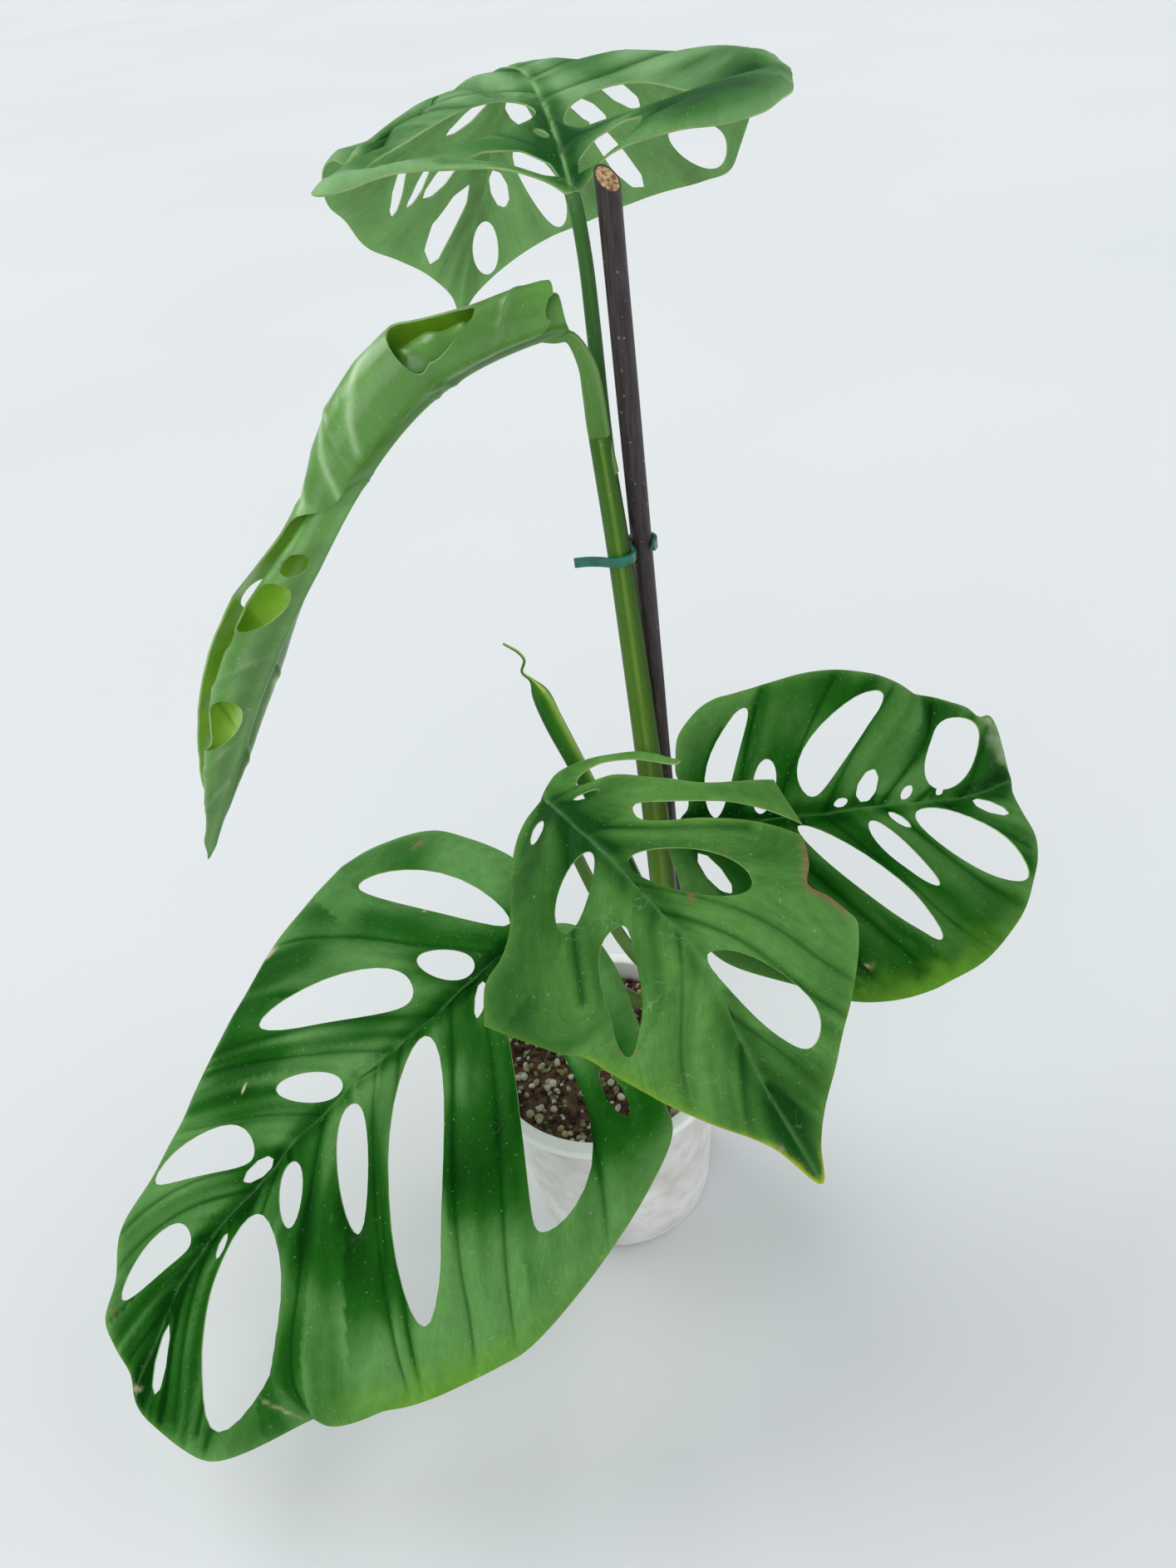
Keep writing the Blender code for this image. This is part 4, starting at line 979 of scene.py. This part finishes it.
def build_pot():
    """The pot: the frame's walls, with a stepped foot and a softer rim."""
    top, rim, foot, mouth = POT_TOP, POT_RIM_R, POT_FOOT_R, POT_MOUTH_R
    lip, wall = top - RIM_DEPTH, mouth + POT_WALL
    low = foot - POT_WALL - 0.6

    def inner(z):
        return low + (mouth - low) * (z - FLOOR) / (top - FLOOR)
    rows = [(rim - 0.9, top), (rim - 0.3, top - 0.2), (rim, top - 0.8), (rim, lip + 0.3),
            (rim - 0.3, lip), (rim - 0.8, lip), (rim - 1.0, lip + 0.4), (rim - 1.0, top - 1.6),
            (rim - 1.4, top - 1.9), (wall + 0.8, top - 1.9), (wall + 0.2, top - 2.4),
            (wall - 0.1, top - 4)]
    rows += [(foot + 0.75 + (wall - foot - 0.85) * k / 8, 7.0 + (top - 11) * k / 8)
             for k in range(8, -1, -1)]
    rows += [(foot + 0.45, 6.4), (foot + 0.1, 6.0), (foot - 0.1, 4.0), (foot - 0.3, 2.0),
             (foot - 0.9, 0.7), (foot - 1.8, 0.1), (foot - 2.4, 0.0), (30, 0.0), (24, 0.0),
             (0.01, 0.0), (0.01, FLOOR), (24, FLOOR), (30, FLOOR), (inner(FLOOR) - 2.2, FLOOR),
             (inner(FLOOR) - 0.7, FLOOR + 0.7)]
    rows += [(inner(z), z) for z in (4.0, 30, 60, top - 4, top - 0.9)]
    rows += [(mouth + 0.15, top - 0.4), (mouth + 0.7, top)]
    sides = 160
    turn = turns(sides)
    points = np.vstack([np.column_stack([r * np.cos(turn), r * np.sin(turn), np.full(sides, z)])
                        for r, z in rows])
    faces = []
    for i in range(len(rows)):
        faces += band(i * sides, (i + 1) % len(rows) * sides, sides, flip=True)
    pot = mesh_object("pot_shell", points, faces)
    cut_drain_holes(pot)
    settle(pot, "pot", "pot", 50, pot_material())


def cut_drain_holes(pot):
    """Cuts the ring of round drain holes through the pot's floor."""
    sides, past = 32, 3
    points, faces = [], []
    for at in turns(DRAIN_HOLES):
        x, y = DRAIN_RING_R * math.cos(at), DRAIN_RING_R * math.sin(at)
        low = len(points)
        for z in (-past, FLOOR + past):
            points += [(x + DRAIN_R * math.cos(t), y + DRAIN_R * math.sin(t), z)
                       for t in turns(sides)]
        faces += [cap(low, sides)[::-1], cap(low + sides, sides)] + band(low, low + sides, sides)
    cutter = mesh_object("drain_cutter", np.array(points), faces)
    holes = pot.modifiers.new("drain holes", "BOOLEAN")
    holes.solver, holes.object = "EXACT", cutter
    with bpy.context.temp_override(object=pot, active_object=pot, selected_objects=[pot]):
        bpy.ops.object.modifier_apply(modifier=holes.name)
    bpy.data.objects.remove(cutter, do_unlink=True)


def unit_ball(level):
    """Points and faces of a ball of radius 1."""
    work = bmesh.new()
    bmesh.ops.create_icosphere(work, subdivisions=level, radius=1.0)
    made = (np.array([v.co for v in work.verts]),
            [tuple(v.index for v in f.verts) for f in work.faces])
    work.free()
    return made


def lump(rng, ball, place, size, squash, rough):
    """Points of one rounded grain: a bumpy ball, turned at random."""
    turn = Matrix.Rotation(rng.uniform(0, 6.3), 3, Vector(rng.normal(size=3)))
    points = ball * (1 + rough * rng.normal(size=(len(ball), 1)) * 0.5)
    points = points * np.array([1, squash, squash * rng.uniform(0.7, 1.0)])
    return (points * size) @ np.array(turn) + place


def soil_height(x, y):
    """Height of the potting mix at a place: a low dome, and crumbly."""
    dome_r = 46
    out = math.hypot(x, y) / dome_r
    crumbly = noise.fractal(Vector((x / 9, y / 9, 0.3)), 1.0, 2.0, 3)
    return SOIL_TOP + 2.0 * (1 - out * out) + 1.3 * crumbly


def build_soil():
    """The potting mix, down to just above the floor, with a crumbly top."""
    rings, sides = 46, 120
    foot_r = 39.4
    points = [(0, 0, soil_height(0, 0))]
    for i in range(1, rings + 1):
        r = SOIL_R * i / rings
        for k in range(sides):
            a = 2 * math.pi * (k + 0.5 * (i % 2)) / sides
            x, y = r * math.cos(a), r * math.sin(a)
            points.append((x, y, soil_height(x, y) - (1.2 if i == rings else 0)))
    for z in (60, 30, 2.2):
        r = foot_r + (SOIL_R - foot_r) * (z - FLOOR) / (SOIL_TOP - 1)
        points += [(r * math.cos(a), r * math.sin(a), z) for a in turns(sides)]
    faces = [(0, 1 + k, 1 + (k + 1) % sides) for k in range(sides)]
    for i in range(rings + 2):
        faces += band(1 + i * sides, 1 + (i + 1) * sides, sides, flip=True)
    faces.append(cap(1 + (rings + 2) * sides, sides)[::-1])
    settle(mesh_object("soil_body", points, faces), "soil", "soil", None, soil_material())


def build_grains():
    """Loose pale grains, dark crumbs and bits of moss on the potting mix."""
    rng = np.random.RandomState(11)
    stem_clear, stake_clear = 6, 4.6
    stacks, colours, tris = [], [], []
    total = 0
    for amount, small, large, squash, rough, tones, level in GRAINS:
        ball, shell = unit_ball(level)
        for _ in range(amount):
            r, a = (SOIL_R - 1.4) * math.sqrt(rng.uniform()), rng.uniform(0, 2 * math.pi)
            x, y = r * math.cos(a), r * math.sin(a)
            if (math.hypot(x - STEM[1][0], y - STEM[1][1]) < stem_clear
                    or math.hypot(x - STAKE_FOOT[0], y - STAKE_FOOT[1]) < stake_clear):
                continue
            size = min(small + (large - small) * rng.uniform()**2, SOIL_R - 0.3 - r)
            stacks.append(lump(rng, ball, (x, y, soil_height(x, y) + size * 0.3), size, squash,
                               rough))
            tone = np.array(tones[rng.randint(len(tones))]) * rng.uniform(0.7, 1.15)
            colours.append(np.tile(tone, (len(ball), 1)))
            tris += [tuple(i + total for i in f) for f in shell]
            total += len(ball)
    grains = mesh_object("soil_grains", np.vstack(stacks), tris, np.vstack(colours))
    settle(grains, None, "soil", None, grain_material())


def build_stake():
    """The stake: bark round a crumbly pith, cut at a slant."""
    foot, head = np.array(STAKE_FOOT), np.array(STAKE_HEAD)
    span = np.linalg.norm(head - foot)
    way = (head - foot) / span
    a = np.cross(way, (0, 1, 0))
    a /= np.linalg.norm(a)
    b = np.cross(way, a)
    sides, rings = 36, 150
    turn = turns(sides)
    points, uv, faces = [], [], []
    for i in range(rings + 1):
        at = span * i / rings
        wobble = np.array([noise.noise(Vector((math.cos(q) * 0.9, math.sin(q) * 0.9, at / 30)))
                           for q in turn])
        r = STAKE_R * (0.965 + 0.035 * wobble)
        side = r[:, None] * (np.cos(turn)[:, None] * a + np.sin(turn)[:, None] * b)
        cut = side[:, :2] @ STAKE_CUT_WAY / STAKE_R * STAKE_CUT * 0.95 * (i / rings)**12
        points.append(foot + way * at + side + np.outer(cut, way))
        uv.append(np.column_stack([turn / (2 * math.pi), np.full(sides, at / 100)]))
    for i in range(rings):
        faces += band(i * sides, (i + 1) * sides, sides)
    faces.append(cap(0, sides)[::-1])
    slots = [0] * len(faces)
    top = points[-1]
    middle = top.mean(axis=0)
    for n, share in enumerate((0.88, 0.78, 0.6, 0.4, 0.2)):
        ring = middle + (top - middle) * share
        dip = [-(0.35 if n else 0.1) + 0.7 * noise.noise(Vector(p * 0.9)) * (n > 0) for p in ring]
        faces += band((rings + n) * sides, (rings + n + 1) * sides, sides)
        slots += [1 if n else 0] * sides
        points.append(ring + np.outer(dip, way))
        uv.append(np.zeros((sides, 2)))
    faces.append(cap((len(points) - 1) * sides, sides))
    slots.append(1)
    stake = mesh_object("stake_bark", np.vstack(points), faces, None, np.vstack(uv), slots)
    settle(stake, "stake", "stake", 45, bark_material(), pith_material())


def skin(low, high, ridge, flank_shade=0.0, lines=3):
    """Colours of a stem: from low to high along it, with light ridges and painted shade on two opposite
    flanks.
    """
    low, high, ridge = np.array(low), np.array(high), np.array(ridge)

    def paint(turn, share):
        base = low * (1 - share) + high * share
        light = np.clip(np.cos(lines * turn + 0.8) - 0.72, 0, 1) / 0.28
        # Painted shade: darker on two opposite flanks of the stem.
        flank_shading = (0.5 + 0.5 * np.cos(2 * turn))**1.5 * flank_shade
        out = base[None] * (1 - 0.6 * flank_shading[:, None])
        light = 0.55 * light * (1 - flank_shading)
        return out * (1 - light[:, None]) + ridge * light[:, None]
    return paint


def build_camera():
    """The camera of the photograph."""
    data = bpy.data.cameras.new("camera")
    data.lens = CAMERA_LENS
    data.sensor_width = 36
    camera = linked("camera", data)
    p, c = math.radians(CAMERA_DOWN), math.radians(CAMERA_ROLL)
    ahead = Vector((0, math.cos(p), -math.sin(p)))
    right, up = Vector((1, 0, 0)), Vector((0, math.sin(p), math.cos(p)))
    x = right * math.cos(c) + up * math.sin(c)
    y = up * math.cos(c) - right * math.sin(c)
    rotation = Matrix((x, y, -ahead)).transposed()
    camera.matrix_world = Matrix.Translation(CAMERA_PLACE) @ rotation.to_4x4()
    data.clip_start, data.clip_end = 0.01, 20
    bpy.context.scene.camera = camera


def build_stage():
    """A wide pale floor, and soft studio light."""
    wide = 16.0
    mesh = bpy.data.meshes.new("floor")
    mesh.from_pydata([(-wide, -wide, 0), (wide, -wide, 0), (wide, wide, 0), (-wide, wide, 0)], [],
                     [(0, 1, 2, 3)])
    floor = linked("floor", mesh)
    paper = Finish("paper", 0.85, 0.2)
    cloud = paper.noise(1.4, 2.0)
    mesh.materials.append(paper.coloured(paper.ramp(cloud, (0.64, 0.67, 0.675), (0.67, 0.69, 0.70))))

    world = bpy.data.worlds.new("studio")
    world.use_nodes = True
    sky = world.node_tree.nodes["Background"]
    sky.inputs["Color"].default_value = (0.93, 0.97, 1.0, 1)
    sky.inputs["Strength"].default_value = 0.42
    bpy.context.scene.world = world
    lights = [("key", (-1.3, 0.8, 1.5), 1.95, 50, (1.0, 0.995, 0.98)),
              ("fill", (-0.7, -1.2, 0.8), 1.3, 60, (0.98, 0.99, 1.0)),
              ("side", (1.4, 0.1, 0.8), 1.1, 60, (0.98, 0.99, 1.0))]
    for name, toward, strength, spread, colour in lights:
        data = bpy.data.lights.new(name, "SUN")
        data.angle = math.radians(spread)
        data.energy = strength
        data.color = colour
        lamp = linked(name, data)
        lamp.location = toward
        lamp.rotation_mode = "QUATERNION"
        lamp.rotation_quaternion = (-Vector(toward)).to_track_quat("-Z", "Y")
    bpy.context.scene.view_settings.view_transform = "Standard"


def shoot_colour(turn, share):
    """The new shoot: dark on one side, bright along its free edge, pale at its dry tip."""
    base = np.array([0.012, 0.12, 0.004]) * (1 - share) + np.array([0.03, 0.18, 0.010]) * share
    bright = bell(turn - 3.1, 0.34)[:, None] * np.clip((share - 0.4) / 0.3, 0, 1)
    dark = bell(turn - 1.0, 0.9)[:, None]
    out = base * (1 - 0.6 * dark) * (1 - bright) + np.array([0.42, 0.66, 0.09]) * bright
    return out if share < TIP_STARTS else out * np.array([1.5, 1.15, 1.3])


def build_stems():
    """The main stem, the leaf stalks and the new shoot."""
    green = stem_material("stem skin")
    pale, lively = (0.17, 0.27, 0.03), (0.042, 0.130, 0.010)
    tube("stem_skin", STEM, "stem", green, skin(pale, lively, (0.20, 0.34, 0.06), 0.95), 40, 1.5,
         main_stem_form)
    rows = grown_from(TOP_PETIOLE) + TOP_PETIOLE["route"] + under(LEAF_TOP, TOP_PETIOLE["end"])
    tube("stalk_top", rows, "petiole_top", green,
         skin((0.06, 0.17, 0.04), (0.05, 0.15, 0.035), (0.12, 0.27, 0.07), 0.3, 2), 24, 1.5)
    rows = [(30.6, 3.8, 352, 3.0)] + ROLLED_PETIOLE + under(LEAF_ROLLED, ROLLED_END, 8.0)
    tube("stalk_rolled", rows, "petiole_rolled", green,
         skin((0.07, 0.18, 0.03), (0.13, 0.28, 0.07), (0.22, 0.38, 0.12), 0.2, 2), 28, 1.2)
    for name, plan, leaf in (("front", FRONT_PETIOLE, LEAF_FRONT), ("side", SIDE_PETIOLE, LEAF_SIDE),
                             ("low", LOW_PETIOLE, LEAF_LOW)):
        tube("stalk_" + name, grown_from(plan) + plan["route"] + under(leaf, plan["end"]),
             "petiole_" + name, green,
             skin((0.14, 0.25, 0.05), (0.06, 0.16, 0.03), (0.20, 0.33, 0.09), 0.3, 2), 24, 1.5)
    tube("shoot_sheath", grown_from(NEW_SHOOT) + NEW_SHOOT["route"], "new_shoot",
         stem_material("young sheath", 0.36), shoot_colour, 24, 0.9, sheath, "young_leaf")


def all_over(x, y):
    """The same strength along the whole margin."""
    return np.ones(len(x))


def spot(px, py, across):
    """A strength of 1 at a place, fading with the distance from it."""
    return lambda x, y: bell(np.hypot(x - px, y - py), across)


def painted_light_and_shade(places):
    """Painted light and painted shade: how much lighter each point is, from rows of along, across, reach
    and amount.
    """
    return lambda x, y: sum(amount * spot(px, py, reach)(x, y) for px, py, reach, amount in places)


def common_look():
    """The look that the leaves share: a deep green with a thin pale margin."""
    upper = leaf_material("leaf upper face", 0.42, 0.03, 0.4, 0.2, 0.03)
    # dark and light are the ends of the tone ramp: the leaf's own tone, and also its painted shade and
    # painted light.
    return dict(colour=(0.011, 0.100, 0.006), light=(0.100, 0.255, 0.068),
                dark=(0.000, 0.036, 0.000), rib=(0.060, 0.21, 0.045), under=(0.09, 0.25, 0.06),
                pucker=2.2, wave=1.8, slot="leaf", shade=lambda x, y: 0 * x, folds=[],
                hems=[((0.16, 0.32, 0.05), 0.35, 0.9, all_over)], patches=[],
                materials=(upper, leaf_material("leaf underside", 0.55, 0.08), rim_material()))


def low_look(deep):
    """The low leaf: yellowing at its far margin, with straw and brown marks, and painted light and
    shade.
    """
    return dict(deep, shade=painted_light_and_shade(LOW_SHADE),
                hems=deep["hems"] + [(YELLOW, 0.8, 8.0, spot(120, -108, 46))],
                patches=[((91, 83), 4, STRAW, 0.9), ((5, 70), (3.0, 1.2, 20), BROWN, 0.9),
                         ((126, 35.5), (2.6, 0.9, -30), STRAW, 0.95),
                         ((21, 41), (2.2, 0.9, 40), STRAW, 0.8),
                         ((213, 24), (2.2, 1.2, 70), BROWN, 0.7),
                         ((232, 0), (3.5, 1.4, 60), STRAW, 0.6),
                         ((203, -68), (1.0, 14, -12), STRAW, 0.35)])


def front_look(deep):
    """The front leaf: dusty and scratched, yellow and brown along its margin, painted light and shade.
    """
    matt = leaf_material("dusty leaf face", 0.52, 0.04, 0.55, 0.6, 0.07)

    def tip_and_left(x, y):
        return np.clip((y - 25) / 10 + (x - 110) / 12, 0.1, 1)

    def notched(x, y):
        return (np.abs(x - 80) < 9) & (y < -38)
    return dict(deep, colour=(0.044, 0.155, 0.024), light=(0.105, 0.275, 0.060),
                dark=(0.004, 0.060, 0.004), rib=(0.085, 0.24, 0.07), pucker=1.9,
                shade=painted_light_and_shade(FRONT_SHADE), materials=(matt, *deep["materials"][1:]),
                hems=[((0.42, 0.50, 0.03), 0.95, 1.0, tip_and_left),
                      (YELLOW, 0.7, 5.0, spot(112, 38, 20)), (BROWN, 1.0, 1.4, notched)],
                patches=[((63, -10.5), (3.2, 1.3, 30), BROWN, 1.0),
                         ((61, -26.5), (3.6, 1.1, 50), BROWN, 1.0),
                         ((96, 32.5), (4.4, 2.0, -60), BROWN, 1.0), ((99, 41.5), 1.2, BROWN, 0.9),
                         ((142.5, 5.5), (1.8, 1.0, 40), (0.34, 0.26, 0.22), 0.9),
                         ((21, -44), (4, 2.5, 0), BROWN, 0.8)])


def side_look(deep):
    """The side leaf: a yellow patch at one margin, a faded tip, and painted light and shade."""
    return dict(deep, light=(0.085, 0.225, 0.052), shade=painted_light_and_shade(SIDE_SHADE),
                hems=deep["hems"] + [(YELLOW, 0.85, 7.0, spot(74, 64, 28))],
                patches=[((57, 58), (1.9, 0.7, 40), STRAW, 0.9),
                         ((137, -12), (7, 16, 0), SAGE, 0.9),
                         ((136, -24), (1.5, 4, 20), (0.45, 0.46, 0.27), 0.7)])


def top_look(deep):
    """The top leaf: lighter and glossier; one long trough across its near lobe, with painted shade."""
    airy = leaf_material("high leaf face", 0.45, 0.08, 0.35, 0.1, 0.12)
    # Its light end is also the colour of its painted highlights.
    return dict(deep, colour=(0.052, 0.185, 0.036), light=(0.21, 0.40, 0.17),
                dark=(0.004, 0.070, 0.006), rib=(0.20, 0.42, 0.13), wave=1.6,
                under=(0.21, 0.41, 0.14), materials=(airy, *deep["materials"][1:]),
                shade=painted_light_and_shade(TOP_SHADE),
                folds=[([(33, 9), (42, 24), (55, 46), (66, 66), (74, 84)], 3.0, 7.0, None)])


def rolled_look(deep):
    """The young leaf: light and glossy, with pale lines and painted highlight round its roll, and
    painted shade in the ribs inside it.
    """
    young = leaf_material("young leaf face", 0.30, 0.15, 0.3, 0.0, 0.65)
    # The pale lines round the roll: pale veins, with painted highlight along them.
    lines = [([(k, 5), (k + 24, 22), (k + 60, 42)], 0.12, 1.3, (0.46, 0.66, 0.36))
             for k in (5, 30, 58, 85, 112, 138)]
    # The ribs inside the roll: grooves with painted shade along them.
    ribs = [([(k, -16), (k + 5, -30), (k + 13, -52)], 0.9, 1.5, (0.07, 0.20, 0.02))
            for k in range(12, 55, 7)]
    return dict(deep, colour=(0.31, 0.58, 0.03), light=(0.50, 0.77, 0.12),
                dark=(0.12, 0.32, 0.012), rib=(0.15, 0.34, 0.09), under=(0.085, 0.24, 0.03),
                pucker=0.25, wave=0.0, hems=[], slot="young_leaf",
                materials=(young, young, deep["materials"][2]), folds=lines + ribs)


def build_leaves():
    """The five leaves with their own colours and marks."""
    deep = common_look()
    for name, shape, look, spacing in (
            ("low", LEAF_LOW, low_look, 1.8), ("front", LEAF_FRONT, front_look, 1.5),
            ("side", LEAF_SIDE, side_look, 1.8), ("top", LEAF_TOP, top_look, 1.8),
            ("rolled", LEAF_ROLLED, rolled_look, 1.5)):
        build_leaf("blade_" + name, "leaf_" + name, shape, look(deep), spacing)


build_camera()
build_stage()
build_pot()
build_soil()
build_grains()
build_stake()
build_stems()
build_leaves()
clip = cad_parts["stake_clip"]
clip.data.materials.clear()
clip.data.materials.append(clip_material())
